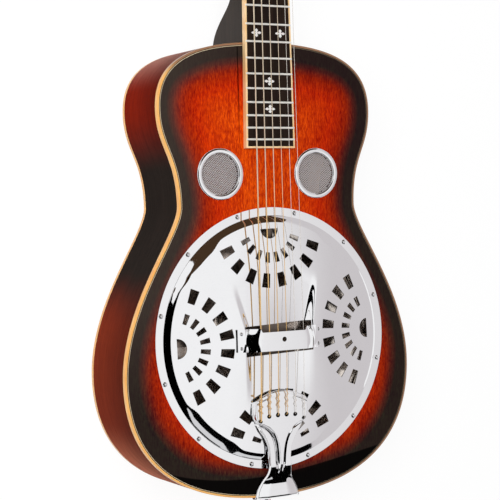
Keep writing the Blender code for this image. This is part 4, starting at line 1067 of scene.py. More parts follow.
@dataclass
class Coverplate:
    """Pressed chrome dome with four fans of slots, a scoop under the strings and the flange screws."""

    radius: float = 0.1425
    sheet: float = 0.0010
    flange: float = 0.0095
    wall: float = 0.0090
    shoulder_rise: float = 0.0046
    crown: float = 0.0160
    ridge_half: float = 0.037
    fall: float = 1.3
    turn: float = math.radians(2.1)
    opening: Pair = (0.084, 0.0325)
    fans: int = 4
    fan_radius: float = 0.121
    slots: int = 8
    pitch: float = math.radians(19.0)
    arcs: tuple[Triple, ...] = ((0.033, 0.0052, 0.0112), (0.058, 0.0092, 0.0155))
    taper: float = 0.12
    moon_radius: float = 0.0108
    moon_flat: float = 0.1195
    screws: int = 12
    screw_radius: float = 0.1388
    corner: float = 0.1336
    wall_start: float = 0.1210
    wall_power: float = 1.7
    lobe: Pair = (0.0590, 0.0760)
    tail_tuck: float = 0.014
    lobe_push: float = 0.0050
    scoop_half: float = 0.0745
    scoop_share: float = 0.40
    scoop_more: float = 0.92
    scoop_lift: float = 0.10
    scoop_flare: float = 0.25
    scoop_round: float = 0.0008
    scoop_bass: Pair = (0.0352, 0.0436)
    scoop_neck: Pair = (0.0354, 0.0446)
    scoop_tail: Pair = (0.0180, 0.0445)
    scoop_fade: Pair = (0.070, 0.090)
    rim_points: int = 300
    cut_spacing: float = 0.0016
    field_half: float = 0.125
    field_pitch: float = 0.0026
    wall_pitch: float = 0.0006
    scoop_grid: Pair = (0.0575, 0.063)
    screw_size: Pair = (0.0026, 0.0011)
    screw_spin: float = 1.7

    def crest(self, x: Array, y: Array) -> Array:
        """Height of the plain dome: flat along a line across it, then a power of the way to the shoulder."""
        shoulder = self.radius - self.flange - self.wall
        beyond = np.maximum(np.abs(x) - self.ridge_half, 0.0)
        travel = np.hypot(beyond, y) + TINY
        start = np.minimum(np.abs(x), self.ridge_half)
        reach = -start * beyond / travel + np.sqrt(shoulder ** 2 - (start * y / travel) ** 2)
        return self.crown - (self.crown - self.shoulder_rise) * (travel / reach) ** self.fall

    def rise(self, x: Array, y: Array) -> Array:
        """Height over the soundboard, from the plate's centre.

        The dome drops to the flange by a power of the share of the way from the wall's start to its corner.
        The start lies further out in a round lobe about each fan, which is smaller at the tail.
        The scoop under the strings is taken off.
        """
        flange_top = GAP + self.sheet
        radius = np.hypot(x, y) + TINY
        far, near_by = np.maximum(np.abs(x), np.abs(y)), np.minimum(np.abs(x), np.abs(y))
        fan = np.hypot(far - self.fan_radius, near_by) + self.tail_tuck * (y < -np.abs(x))
        pressed = 1.0 - smooth_step(fan, *self.lobe)
        start = self.wall_start + self.lobe_push * pressed
        share = np.clip((radius - start) / (self.corner - start), 0.0, 1.0)
        out = self.corner / radius
        dome = self.crest(x, y)
        wall = dome - (self.crest(x * out, y * out) - flange_top) * share ** self.wall_power
        wall -= self.scoop(x, y, dome) * (1.0 - smooth_step(radius, *self.scoop_fade))
        return np.where(radius > self.corner, flange_top, wall)

    def scoop(self, x: Array, y: Array, dome: Array) -> Array:
        """Depth of the scoop under the strings, before it fades outwards.

        It takes a share of the way from the dome down to a level. The share grows towards the neck, and most on
        the treble side there. Smooth steps across end it, further out on a flare towards the neck.

        Args:
            x: places across the plate.
            y: places along it.
            dome: height of the plain dome there.

        Returns:
            The depth at each place.
        """
        half = self.opening[1] / 2
        level = self.crest(np.zeros(1), np.array([self.scoop_half]))[0]
        treble = smooth_step(x, -self.scoop_neck[0], self.scoop_neck[0])
        deep = self.scoop_share + (self.scoop_lift + self.scoop_more * treble) * smooth_step(y, -half, half)
        sunk = deep * (dome - smooth_min(dome, level + 0.0 * dome, self.scoop_round))
        flare = self.scoop_flare * np.maximum(y - half, 0.0)
        ends = [np.where(x < 0.0, bass, np.where(y < 0.0, tail, neck)) + flare
                for bass, neck, tail in zip(self.scoop_bass, self.scoop_neck, self.scoop_tail)]
        return sunk * (1.0 - smooth_step(np.abs(x), *ends))

    def fan(self) -> list[Array]:
        """Outlines of one fan: two arcs of slots and a half moon, seen from the plate's centre along +X."""
        outlines = []
        ends = np.array((-1.0, 1.0, 1.0, -1.0))
        sides = np.array((-1.0, -1.0, 1.0, 1.0))
        for arc, width, length in self.arcs:
            for swing in math.pi + self.pitch * (np.arange(self.slots) - (self.slots - 1) / 2):
                run = arc + ends * length / 2
                off = sides * width / 2 * (1 + ends * self.taper)
                outlines.append(np.column_stack([
                    self.fan_radius + run * math.cos(swing) - off * math.sin(swing),
                    run * math.sin(swing) + off * math.cos(swing)]))
        sweep = np.linspace(math.pi / 2, 1.5 * math.pi, 17)
        outlines.append(np.column_stack([self.moon_flat + self.moon_radius * np.cos(sweep),
                                         self.moon_radius * np.sin(sweep)]))
        return outlines

    def holes(self) -> list[Array]:
        """Outlines of every slot, the half moons and the opening for the saddles."""
        cuts = []
        for heading in np.arange(self.fans) * (2 * math.pi / self.fans):
            spin = np.array(((math.cos(heading), math.sin(heading)), (-math.sin(heading), math.cos(heading))))
            cuts += [outline @ spin for outline in self.fan()]
        length, width = self.opening
        corner = np.array(((-1, -1), (1, -1), (1, 1), (-1, 1))) * (length / 2, width / 2)
        return [dense(cut, self.cut_spacing) for cut in [*cuts, corner]]

    def dome(self) -> Surface:
        """The plate: a fine field of points on the dome and close rings over the shoulder and wall."""
        holes, count = self.holes(), self.rim_points
        shoulder = self.radius - self.flange - self.wall
        field_margin, wall_margin, corner_clear, corner_ease, cut_clear = 0.0050, 0.0048, 0.0002, 0.0001, 0.0007
        coarse, fine = np.arange(0.0006, 0.0342, 0.0012), np.arange(0.0348, 0.0570, 0.0005)
        scoop_rows = np.arange(-0.0620, 0.0621, 0.0010)
        spread = np.arange(-self.field_half, self.field_half, self.field_pitch)
        points = grid(spread, spread, self.field_pitch / 2)
        points = points[np.hypot(*points.T) < shoulder - field_margin]
        points = points[(np.abs(points) > self.scoop_grid).any(axis=1)]
        wall = np.arange(shoulder - wall_margin, self.corner - corner_clear, self.wall_pitch)
        flange = [self.radius - inset for inset in (0.0040, 0.0015)]
        rings = [circle(radius, count) for radius in (*wall, self.corner, self.corner + corner_ease, *flange)]
        close = grid(np.concatenate([-coarse, -fine, coarse, fine]), scoop_rows)
        free = away(np.concatenate([points, *rings, close]), holes, cut_clear)
        sheet = Sheet(circle(self.radius, count), holes, free)
        return sheet.solid(lambda p: np.column_stack([p, self.rise(p[:, 0], p[:, 1])]), self.sheet)

    def placed(self) -> Matrix:
        """Carries the plate's own frame to its seat on the soundboard."""
        return Matrix.Translation((0.0, AXIS_Y, TOP)) @ Matrix.Rotation(self.turn, 4, "Z")

    def build(self) -> None:
        """Makes the plate and its screws."""
        add("plate_dome", self.dome().moved(self.placed()), CHROME, replaces=("coverplate",), sharp=180.0)
        head = screw_head(*self.screw_size)
        angles = (np.arange(self.screws) + 0.5) * (2 * math.pi / self.screws)
        places = [self.placed() @ Matrix.Rotation(a, 4, "Z")
                  @ Matrix.Translation((self.screw_radius, 0.0, GAP + self.sheet))
                  @ Matrix.Rotation(self.screw_spin * a, 4, "Z") for a in angles]
        add("plate_screws", head.repeated(places), CHROME)


@dataclass
class PalmRest:
    """Strap over the bridge: flat top, sloped ends and feet screwed to the plate."""

    plate: Coverplate
    sheet: float = 0.0020
    top: float = 0.0254
    top_half: float = 0.0325
    foot_inner: float = 0.0435
    foot_outer: float = 0.0530
    tail_edge: float = -0.0120
    neck_edge: float = 0.0126
    waist_edge: float = 0.0085
    notch_half: float = 0.029
    arch: float = 11.0
    arch_y: float = 0.004
    skew: float = 0.25
    hole: float = 0.0027
    screw: Pair = (0.0485, 0.0078)
    screw_size: Pair = (0.0019, 0.0010)
    arch_in: Pair = (0.004, 0.003)
    arch_out: Pair = (0.003, 0.001)
    bend: float = 0.0016
    foot_bend: float = 0.0008
    notch_ease: float = 0.0025
    edge_ease: float = 0.0004

    def crest(self, x: Array, y: Array) -> Array:
        """Height of the strap's top face over the soundboard.

        It is the lower of top and slope, or the foot. The slopes lie askew and arch by a square of y.
        """
        reach = np.abs(x)
        foot = self.plate.rise(np.maximum(reach, self.foot_inner), 0.0 * x) + GAP + self.sheet
        base = self.plate.rise(np.array([self.foot_inner]), np.array([0.0]))[0] + GAP + self.sheet
        rate = (self.top - base) / (self.foot_inner - self.top_half)
        slope = base + (self.foot_inner - reach - self.skew * y) * rate
        arched = smooth_step(reach, self.top_half - self.arch_in[0], self.top_half + self.arch_in[1])
        arched *= 1.0 - smooth_step(reach, self.foot_inner - self.arch_out[0], self.foot_inner + self.arch_out[1])
        bent = -smooth_min(-smooth_min(self.top + 0.0 * x, slope, self.bend), -foot, self.foot_bend)
        return bent - self.arch * arched * (y - self.arch_y) ** 2

    def strap(self) -> Surface:
        """Outline of the strap with a shallow notch on its neck side and the access hole."""
        side = np.linspace(-self.foot_outer, self.foot_outer, 181)
        notch = smooth_step(np.abs(side), self.notch_half - self.notch_ease, self.notch_half)
        edge = self.waist_edge + (self.neck_edge - self.waist_edge) * notch
        lower = np.column_stack([side, np.full_like(side, self.tail_edge)])
        upper = np.column_stack([side, edge])[::-1]
        ends = np.linspace(self.tail_edge, self.neck_edge, 14)[1:-1]
        right = np.column_stack([np.full_like(ends, self.foot_outer), ends])
        outline = np.concatenate([lower, right, upper, right[::-1] * (-1, 1)])
        hole = circle(self.hole, 32)
        clear, columns, rows = 0.0006, np.linspace(-0.0524, 0.0524, 150), np.linspace(-0.0112, 0.0118, 20)
        sheet = Sheet(outline, [hole], away(grid(columns, rows), [outline, hole], clear))
        return sheet.solid(lambda p: np.column_stack([p, self.crest(p[:, 0], p[:, 1])]), self.sheet)

    def build(self) -> None:
        """Makes the strap and the screws in its feet."""
        seat = Matrix.Translation((0.0, AXIS_Y, TOP))
        item = add("hand_rest", self.strap().moved(seat), CHROME, replaces=("palm_rest",), sharp=180.0)
        ease(item, self.edge_ease, 60.0)
        head = screw_head(*self.screw_size)
        x, y = self.screw
        tops = self.crest(np.array([x]), np.array([y]))[0]
        places = [seat @ Matrix.Translation((sx * x, sy * y, tops)) @ Matrix.Rotation(sx + sy, 4, "Z")
                  for sx in (-1, 1) for sy in (-1, 1)]
        add("hand_rest_screws", head.repeated(places), CHROME)


@dataclass
class Tailpiece:
    """Pressed tailpiece: a bowed head that narrows to a tongue, two lower arms and a foot hooked on the tail."""

    top: float = 0.0165
    sheet: float = 0.0016
    tail: float = -0.178
    tab: float = 0.036
    pin_drop: float = 0.026
    lip: float = 0.0012
    bead: float = 0.00035
    flare: float = 0.0014
    step: float = 0.0045
    arm: float = 0.0015
    tongue_start: float = -0.0935
    hole_y: float = -0.0868
    hole_spread: float = 0.0540
    hole_curve: float = 0.0052
    hole: float = 0.0026
    breadth: float = 0.030
    tongue_half: float = 0.001
    tongue_tapers: tuple[Triple, ...] = ((0.0245, 0.01105, -0.02), (0.008, 0.0012, -0.004))
    step_width: float = 0.0022
    arm_rise: Pair = (0.0018, 0.0056)
    rim_from: float = 0.90
    lip_run: float = 0.0016
    foot_y: Pair = (0.150, 0.162)
    foot_z: Pair = (-0.002, 0.003)
    flare_from: float = 0.40
    bead_run: Pair = (0.0052, 0.0008)
    bead_share: Pair = (0.15, 0.6)
    pin_hole: Pair = (0.0035, 0.0145)
    sheet_share: float = 0.75
    washer: Pair = (0.0023, 0.0013)
    washer_play: float = 0.0001

    def stations(self) -> Array:
        """Rows of y, height, half width, bow, rim and relief, from the front edge to the tab on the tail."""
        over = GAP + self.sheet
        back = self.tail - over
        return np.array((
            (-0.0600, 0.0165, 0.0347, 0.0120, 0.0055, 1.0), (-0.0700, 0.0167, 0.0350, 0.0095, 0.0055, 1.0),
            (-0.0800, 0.0166, 0.0347, 0.0055, 0.0052, 1.0), (-0.0890, 0.0165, 0.0332, 0.0020, 0.0045, 1.0),
            (-0.0945, 0.0164, 0.0310, 0.0, 0.0040, 1.0), (-0.0990, 0.0162, 0.0283, 0.0, 0.0030, 1.0),
            (-0.1035, 0.0160, 0.0258, 0.0, 0.0026, 1.0), (-0.1110, 0.0155, 0.0205, 0.0, 0.0024, 1.0),
            (-0.1200, 0.0149, 0.0160, 0.0, 0.0024, 1.0),
            (-0.1300, 0.0143, 0.0142, 0.0, 0.0024, 1.0), (-0.1390, 0.0138, 0.0139, 0.0, 0.0022, 0.9),
            (-0.1425, 0.0133, 0.0139, 0.0, 0.0022, 0.6), (-0.1452, 0.0121, 0.0141, 0.0, 0.0020, 0.3),
            (-0.1530, 0.0084, 0.0156, 0.0, 0.0016, 0.0), (-0.1590, 0.0058, 0.0184, 0.0, 0.0016, 0.0),
            (-0.1625, 0.0050, 0.0208, 0.0, 0.0018, 0.0), (-0.1700, 0.0045, 0.0250, 0.0, 0.0020, 0.0),
            (-0.1786, 0.0038, 0.0274, 0.0, 0.0018, 0.0),
            (back, 0.0012, 0.0275, 0.0, 0.0, 0.0), (back, -0.0060, 0.0270, 0.0, 0.0, 0.0),
            (back, -0.0160, 0.0190, 0.0, 0.0, 0.0), (back, -self.tab, 0.0095, 0.0, 0.0, 0.0)))

    def knots(self) -> Array:
        """Metres along the sheet at each station."""
        return run_along(self.stations()[:, :2])

    def tongue(self, y: Array) -> Array:
        """Half width of the tongue: two exponentials of the way behind the head, on a constant."""
        behind = self.tongue_start - y
        tapers = (size * np.exp(-np.maximum(behind, start) / fade) for size, fade, start in self.tongue_tapers)
        return sum(tapers, self.tongue_half)

    def relief(self, x: Array, y: Array) -> Array:
        """Height against the tongue: a steep step down at its edge, then a round rise on to the arm."""
        nudge = 1e-5
        lean = (self.tongue(y + nudge) - self.tongue(y - nudge)) / (2 * nudge)
        past = (np.abs(x) - self.tongue(y)) / np.hypot(1.0, lean)
        return self.arm * smooth_step(past, *self.arm_rise) - self.step * smooth_step(past, 0.0, self.step_width)

    def lift(self, plane: Array) -> Array:
        """Place of a point at a run along the sheet and a share of its half width, times the breadth.

        The middle follows the stations, the front part bows back with the square of the share, the front
        edge turns down in a lip, the sides in a rim, and arms and tongue stand out by the relief.
        """
        rows, knots = self.stations(), self.knots()
        run = np.clip(plane[:, 0], 0.0, knots[-1])
        y, z, half, bow, rim, stands = hermite(run, knots, rows).T
        nudge = 1e-5
        ahead = hermite(np.clip(run + nudge, 0.0, knots[-1]), knots, rows[:, :2])
        behind = hermite(np.clip(run - nudge, 0.0, knots[-1]), knots, rows[:, :2])
        along = unit(ahead - behind)
        share = plane[:, 1] / self.breadth
        size = np.abs(share)
        x, y = share * half, y - bow * share ** 2
        out = stands * self.relief(x, y) - rim * smooth_step(size, self.rim_from, 1.0)
        out -= self.lip * (1.0 - smooth_step(run, 0.0, self.lip_run))
        foot = smooth_step(-y, *self.foot_y) * smooth_step(z, *self.foot_z)
        out -= self.flare * smooth_step(size, self.flare_from, 1.0) * foot
        bead_at, bead_half = self.bead_run
        out += self.bead * np.exp(-((run - bead_at) / bead_half) ** 2) * smooth_step(size, *self.bead_share)
        return np.column_stack([x, y + along[:, 1] * out, z - along[:, 0] * out + TOP])

    def hole_place(self, index: int) -> Pair:
        """X and y of a string's hole: the outer ones lie further back."""
        share = index / 2.5 - 1.0
        return share * self.hole_spread / 2, self.hole_y - self.hole_curve * share ** 4

    def plate(self) -> Surface:
        """The sheet with its string holes and the pin hole, worked out on its unrolled face."""
        rows, knots = self.stations(), self.knots()
        length, flat, wide = knots[-1], slice(0, 18), self.breadth
        spacing, clear, step_clear, widest = 0.0008, 0.0004, 0.00035, 0.96

        def level(values: Array, y: Array) -> Array:
            """Values of the level stations at places along the strings."""
            return np.interp(-y, -rows[flat, 0], values[flat])

        lip_runs, sheet_runs = np.linspace(0.0002, 0.0024, 9), np.linspace(0.0032, length - 0.0006, 200)
        corners = np.array(((0.0, -wide), (length, -wide), (length, wide), (0.0, wide)))
        outline = dense(corners, spacing)
        holes = []
        for x, y in (self.hole_place(index) for index in range(6)):
            half = level(rows[:, 2], y)
            run = level(knots, y + level(rows[:, 3], y) * (x / half) ** 2)
            holes.append(circle(1.0, 24) * (self.hole, self.hole * wide / half) + (run, x / half * wide))
        bore, tab_half = self.pin_hole
        holes.append(circle(1.0, 24) * (bore, bore * wide / tab_half) + (length - self.tab + self.pin_drop, 0.0))
        free = grid(np.concatenate([lip_runs, sheet_runs]), 0.99 * wide * np.sin(np.linspace(-1.45, 1.45, 81)))
        y = np.linspace(self.tongue_start + 0.0010, -0.161, 150)
        offsets = np.concatenate([np.arange(-0.0004, 0.0030, 0.00025), (0.0035, 0.0042, 0.0050)])
        share = (self.tongue(y)[:, None] + offsets) / level(rows[:, 2], y)[:, None]
        run = np.broadcast_to(level(knots, y)[:, None], share.shape)
        steps = np.stack([run.ravel(), share.ravel() * wide], axis=1)[share.ravel() < widest]
        steps = np.concatenate([steps, steps * (1.0, -1.0)])
        free = np.concatenate([away(free, [steps], step_clear), steps])
        sheet = Sheet(outline, holes, away(free, [outline, *holes], clear))
        return sheet.solid(self.lift, self.sheet_share * self.sheet)

    def packing(self) -> Surface:
        """Dark felt washers that close the string holes from below."""
        low, high = (TOP + self.top - drop for drop in self.washer)
        play, reach = self.washer_play, self.hole - self.washer_play
        washer = turned(((play, low), (reach, low), (reach, high), (play, high)), 24)
        return washer.repeated(Matrix.Translation((*self.hole_place(index), 0.0)) for index in range(6))

    def pin(self) -> Surface:
        """End pin turned about Y: collar, waist, round button."""
        head, length, shank, depth = 0.0068, 0.0095, 0.0032, 0.012
        waist, waist_at, waist_half, dome_from, dome_run = 0.28, 0.42, 0.16, 0.72, 0.30
        t = np.linspace(0.0, 1.0, 26)
        shape = head * (1.0 - waist * np.exp(-((t - waist_at) / waist_half) ** 2))
        shape *= np.sqrt(np.clip(1.0 - np.clip((t - dome_from) / dome_run, 0.0, 1.0) ** 2, 0.0, 1.0))
        profile = np.concatenate([[(shank, -depth), (shank, 0.0)], np.column_stack([shape, t * length])])
        face = self.tail - 2 * GAP - self.sheet
        seat = Matrix.Translation((0.0, face, TOP - self.pin_drop)) @ Matrix.Rotation(math.pi / 2, 4, "X")
        return turned(profile, 48).moved(seat)

    def build(self) -> None:
        """Makes the tailpiece, its felt washers and the end pin."""
        add("string_anchor", self.plate(), CHROME, replaces=("tailpiece",), sharp=180.0)
        add("anchor_washers", self.packing(), FELT)
        add("strap_pin", self.pin(), CHROME, replaces=("end_pin",))


@dataclass
class Fretboard:
    """Bound fretboard with frets, pearl marks and the nut."""

    scale: float = 0.635
    frets: int = 19
    overhang: float = 0.0095
    thick: float = 0.0065
    nut_width: float = 0.0476
    taper: float = 0.0309
    edging: float = 0.0020
    crown: float = 0.0010
    tang: float = 0.0011
    marks: tuple[tuple[int, int], ...] = ((3, 1), (5, 1), (7, 1), (9, 1), (12, 2), (15, 1), (17, 1))
    mark_size: float = 0.0060
    mark_stretch: Pair = (1.06, 0.78)
    pair_x: float = 0.01485
    board_ease: float = 0.0003
    edging_ease: float = 0.0004

    def width(self, y: Array) -> Array:
        """Full width of neck and bound board at a place along the strings."""
        return self.nut_width + self.taper * (self.scale - y)

    def fret_y(self, number: Array) -> Array:
        """Place of a fret, measured from the saddle line."""
        return self.scale * 2.0 ** (-np.asarray(number) / 12.0)

    def board(self) -> Surface:
        """The board inside its binding, with slightly eased upper edges."""
        low, high = TOP + GAP, TOP + GAP + self.thick
        end = self.fret_y(self.frets) - self.overhang + self.edging + GAP
        y = np.linspace(end, self.scale - GAP, 60)
        half = self.width(y) / 2 - self.edging - GAP
        bevel = self.board_ease
        profile = ((-1, 0.0, low), (-1, 0.0, high - bevel), (-1, bevel, high),
                   (1, bevel, high), (1, 0.0, high - bevel), (1, 0.0, low))
        loops = [np.column_stack([side * (half - inset), y, np.full_like(y, z)]) for side, inset, z in profile]
        return lofted(np.stack(loops, axis=1))

    def binding(self) -> Surface:
        """Binding along both edges and across the end of the board, as one bent strip."""
        low, high = TOP + GAP, TOP + GAP + self.thick
        end, head = self.fret_y(self.frets) - self.overhang, self.scale - GAP

        def path(y: float, inset: float) -> Array:
            """Line of the strip at an inset from its outer edge: down one side, across at y, up the other."""
            half, far = self.width(y) / 2 - inset, self.width(head) / 2 - inset
            return np.array(((-far, head), (-half, y), (half, y), (far, head)))

        outer_path, inner_path = path(end, 0.0), path(end + self.edging, self.edging)
        bevel = self.edging_ease
        eased = outer_path - bevel * unit(outer_path - inner_path)
        loop = ((outer_path, low), (outer_path, high - bevel), (eased, high), (inner_path, high), (inner_path, low))
        return lofted(np.stack([raised(path, z) for path, z in loop], axis=1))

    def wires(self) -> Surface:
        """Fret wires: a half ellipse carried across the board, its ends sloped in."""
        base = TOP + GAP + self.thick
        inset, slope, end_share = 0.0003, 0.0007, 0.45
        full = np.array((end_share, 1.0, 1.0, end_share))
        sweep = np.linspace(0.0, math.pi, 11)
        pieces = []
        for y in self.fret_y(np.arange(1, self.frets + 1)):
            half = float(self.width(y)) / 2 - inset
            ends = np.array((-half, -half + slope, half - slope, half))
            sections = np.empty((len(ends), len(sweep), 3))
            sections[..., 0] = ends[:, None]
            sections[..., 1] = y + self.tang * np.cos(sweep)
            sections[..., 2] = base + full[:, None] * self.crown * np.sin(sweep)
            pieces.append(lofted(sections))
        return Surface.joined(pieces)

    def pearl(self) -> Surface:
        """Flower marks of four pointed petals: a kite from the heart to its tip, turned by quarters."""
        high = TOP + GAP + self.thick
        petal = np.array(((1.0, 0.0), (0.84, 0.16), (0.66, 0.30), (0.46, 0.28), (0.28, 0.12), (0.17, 0.17)))
        mirrored = petal[4:0:-1] * (1.0, -1.0)
        quarter = np.concatenate([mirrored, petal])
        turns = np.arange(4) * (math.pi / 2)
        cos, sin = np.cos(turns), np.sin(turns)
        spin = np.stack([np.stack([cos, sin], -1), np.stack([-sin, cos], -1)], 1)
        flake = self.mark_size * (quarter[None] @ spin).reshape(-1, 2) * self.mark_stretch
        depth, face, heart, heart_size = 0.0004, 0.00005, 0.00006, 0.12
        layers = ((1.0, high - depth), (1.0, high + face), (heart_size, high + heart))
        pieces = []
        for number, marks in self.marks:
            y = float(self.fret_y(number - 0.5))
            for x in ((0.0,) if marks == 1 else (-self.pair_x, self.pair_x)):
                rings = [raised(flake * scale + (x, y), z) for scale, z in layers]
                pieces.append(lofted(np.stack(rings)))
        return Surface.joined(pieces)

    def build(self) -> None:
        """Makes the board, its binding, frets and marks, and dresses the nut."""
        add("finger_board", self.board(), ROSEWOOD, replaces=("fretboard",), sharp=25.0)
        add("board_edging", self.binding(), BOARD_BINDING, replaces=("fretboard_binding",), sharp=25.0)
        add("fret_wires", self.wires(), NICKEL)
        add("pearl_marks", self.pearl(), PEARL)
        dress_node("nut", BONE)


@dataclass
class Head:
    """Frame of the tilted headstock: +Y runs up its face from behind the nut, +Z stands out of it."""

    root_y: float = 0.6413
    tilt: float = math.radians(14.0)
    first: float = 0.040
    spacing: float = 0.042
    post_x: float = 0.022

    def placed(self) -> Matrix:
        """Carries the headstock's own frame to its place behind the nut."""
        return Matrix.Translation((0.0, self.root_y, TOP)) @ Matrix.Rotation(-self.tilt, 4, "X")

    def posts(self) -> list[tuple[str, float, float]]:
        """Name and place of each string post, in the order of the strings from the bass side."""
        names = ("bass_1", "bass_2", "bass_3", "treble_3", "treble_2", "treble_1")
        return [(name, self.post_x * (-1 if i < 3 else 1), self.first + self.spacing * min(i, 5 - i))
                for i, name in enumerate(names)]


@dataclass
class Neck:
    """Square neck with its heel, and the headstock with its veneer."""

    board: Fretboard
    head: Head
    joint: float = 0.3175
    depth: float = 0.030
    corner: float = 0.006
    heel_length: float = 0.054
    heel_depth: float = 0.084
    heel_slimming: float = 0.20
    heel_swell: float = 0.004
    head_length: float = 0.178
    head_width: float = 0.072
    tip_width: float = 0.066
    head_thick: float = 0.015
    head_root: float = 0.012
    veneer: float = 0.0015
    bore: float = 0.0033
    heel_pulls: Pair = (0.5, 0.3)
    throat_pulls: Pair = (0.4, 0.3)
    flare_share: float = 0.75
    flare_pulls: Pair = (0.6, 0.45)
    tip_share: float = 0.09
    tip_pulls: Pair = (0.3, 0.6)
    eases: Pair = (0.0012, 0.0004)

    def shaft(self) -> Surface:
        """Sections along the neck: flat sides, quarter-round lower edges, slimmer at the heel's foot."""
        start = self.joint + GAP
        heel_end = start + self.heel_length
        swell = self.heel_depth - self.heel_swell
        leave, arrive = (pull * self.heel_length for pull in self.heel_pulls)
        heel, _ = bezier(((start, self.heel_depth), (start + leave, swell), (heel_end - arrive, self.depth),
                          (heel_end, self.depth)), 40)
        throat = self.head_thick / math.cos(self.head.tilt)
        run = 2 * (self.depth - throat)
        end = self.head.root_y
        leave, arrive = (pull * run for pull in self.throat_pulls)
        sweep, _ = bezier(((end - run, self.depth), (end - leave, self.depth), (end - arrive, throat),
                           (end, throat)), 24)
        y, depth = np.concatenate([heel, sweep]).T
        half = self.board.width(y) / 2
        low = half * (1 - self.heel_slimming * np.maximum(0.0, depth - self.depth) / (self.heel_depth - self.depth))
        turn = np.linspace(0.0, math.pi / 2, 9)
        arc_x, arc_z = self.corner * (1 - np.cos(turn)), self.corner * (1 - np.sin(turn))
        x = np.column_stack([half, low[:, None] - arc_x])
        z = np.column_stack([np.full_like(y, TOP), TOP - depth[:, None] + arc_z])
        right = np.stack([x, np.broadcast_to(y[:, None], x.shape), z], axis=-1)
        return lofted(np.concatenate([right, right[:, ::-1] * (-1, 1, 1)], axis=1))

    def paddle(self, root: float = 0.0) -> Array:
        """Outline of the headstock: flared from the nut, nearly straight sides, a shallow round tip."""
        narrow, wide, tip = self.board.width(self.head.root_y) / 2 - GAP, self.head_width / 2, self.tip_width / 2
        flare, crown, length = self.flare_share * self.head.first, self.tip_share * self.head_length, self.head_length
        leave, arrive = (pull * flare for pull in self.flare_pulls)
        lower, _ = bezier(((narrow, 0.0), (narrow, leave), (wide, arrive), (wide, flare)), 24)
        leave, arrive = self.tip_pulls
        upper, _ = bezier(((tip, length - crown), (tip, length - leave * crown), (arrive * tip, length),
                           (0.0, length)), 24)
        lower[0, 1] -= root
        half = np.concatenate([lower, upper])
        return dense(np.concatenate([half, half[-2::-1] * (-1, 1)]), 0.004)

    def slab(self, low: float, high: float, root: float) -> Surface:
        """A layer of the headstock between two heights over its face, with the six post holes."""
        outline = self.paddle(root)
        holes = [circle(self.bore, 32, (x, y)) for _, x, y in self.head.posts()]
        clear, columns, rows = 0.0012, np.linspace(-0.034, 0.034, 15), np.linspace(-0.010, 0.176, 38)
        sheet = Sheet(outline, holes, away(grid(columns, rows), [outline, *holes], clear))
        return sheet.solid(lambda p: raised(p, high), high - low, False).moved(self.head.placed())

    def build(self) -> None:
        """Makes the shaft, the headstock and its veneer."""
        add("neck_shaft", self.shaft(), NECK_WOOD, replaces=("neck",), sharp=30.0)
        block = add("head_block", self.slab(-self.head_thick, 0.0, self.head_root), NECK_WOOD, sharp=30.0)
        veneer = add("head_veneer", self.slab(GAP, GAP + self.veneer, 0.0), ROSEWOOD,
                     replaces=("headstock_veneer",), sharp=30.0)
        for item, width in zip((block, veneer), self.eases):
            ease(item, width, 50.0)


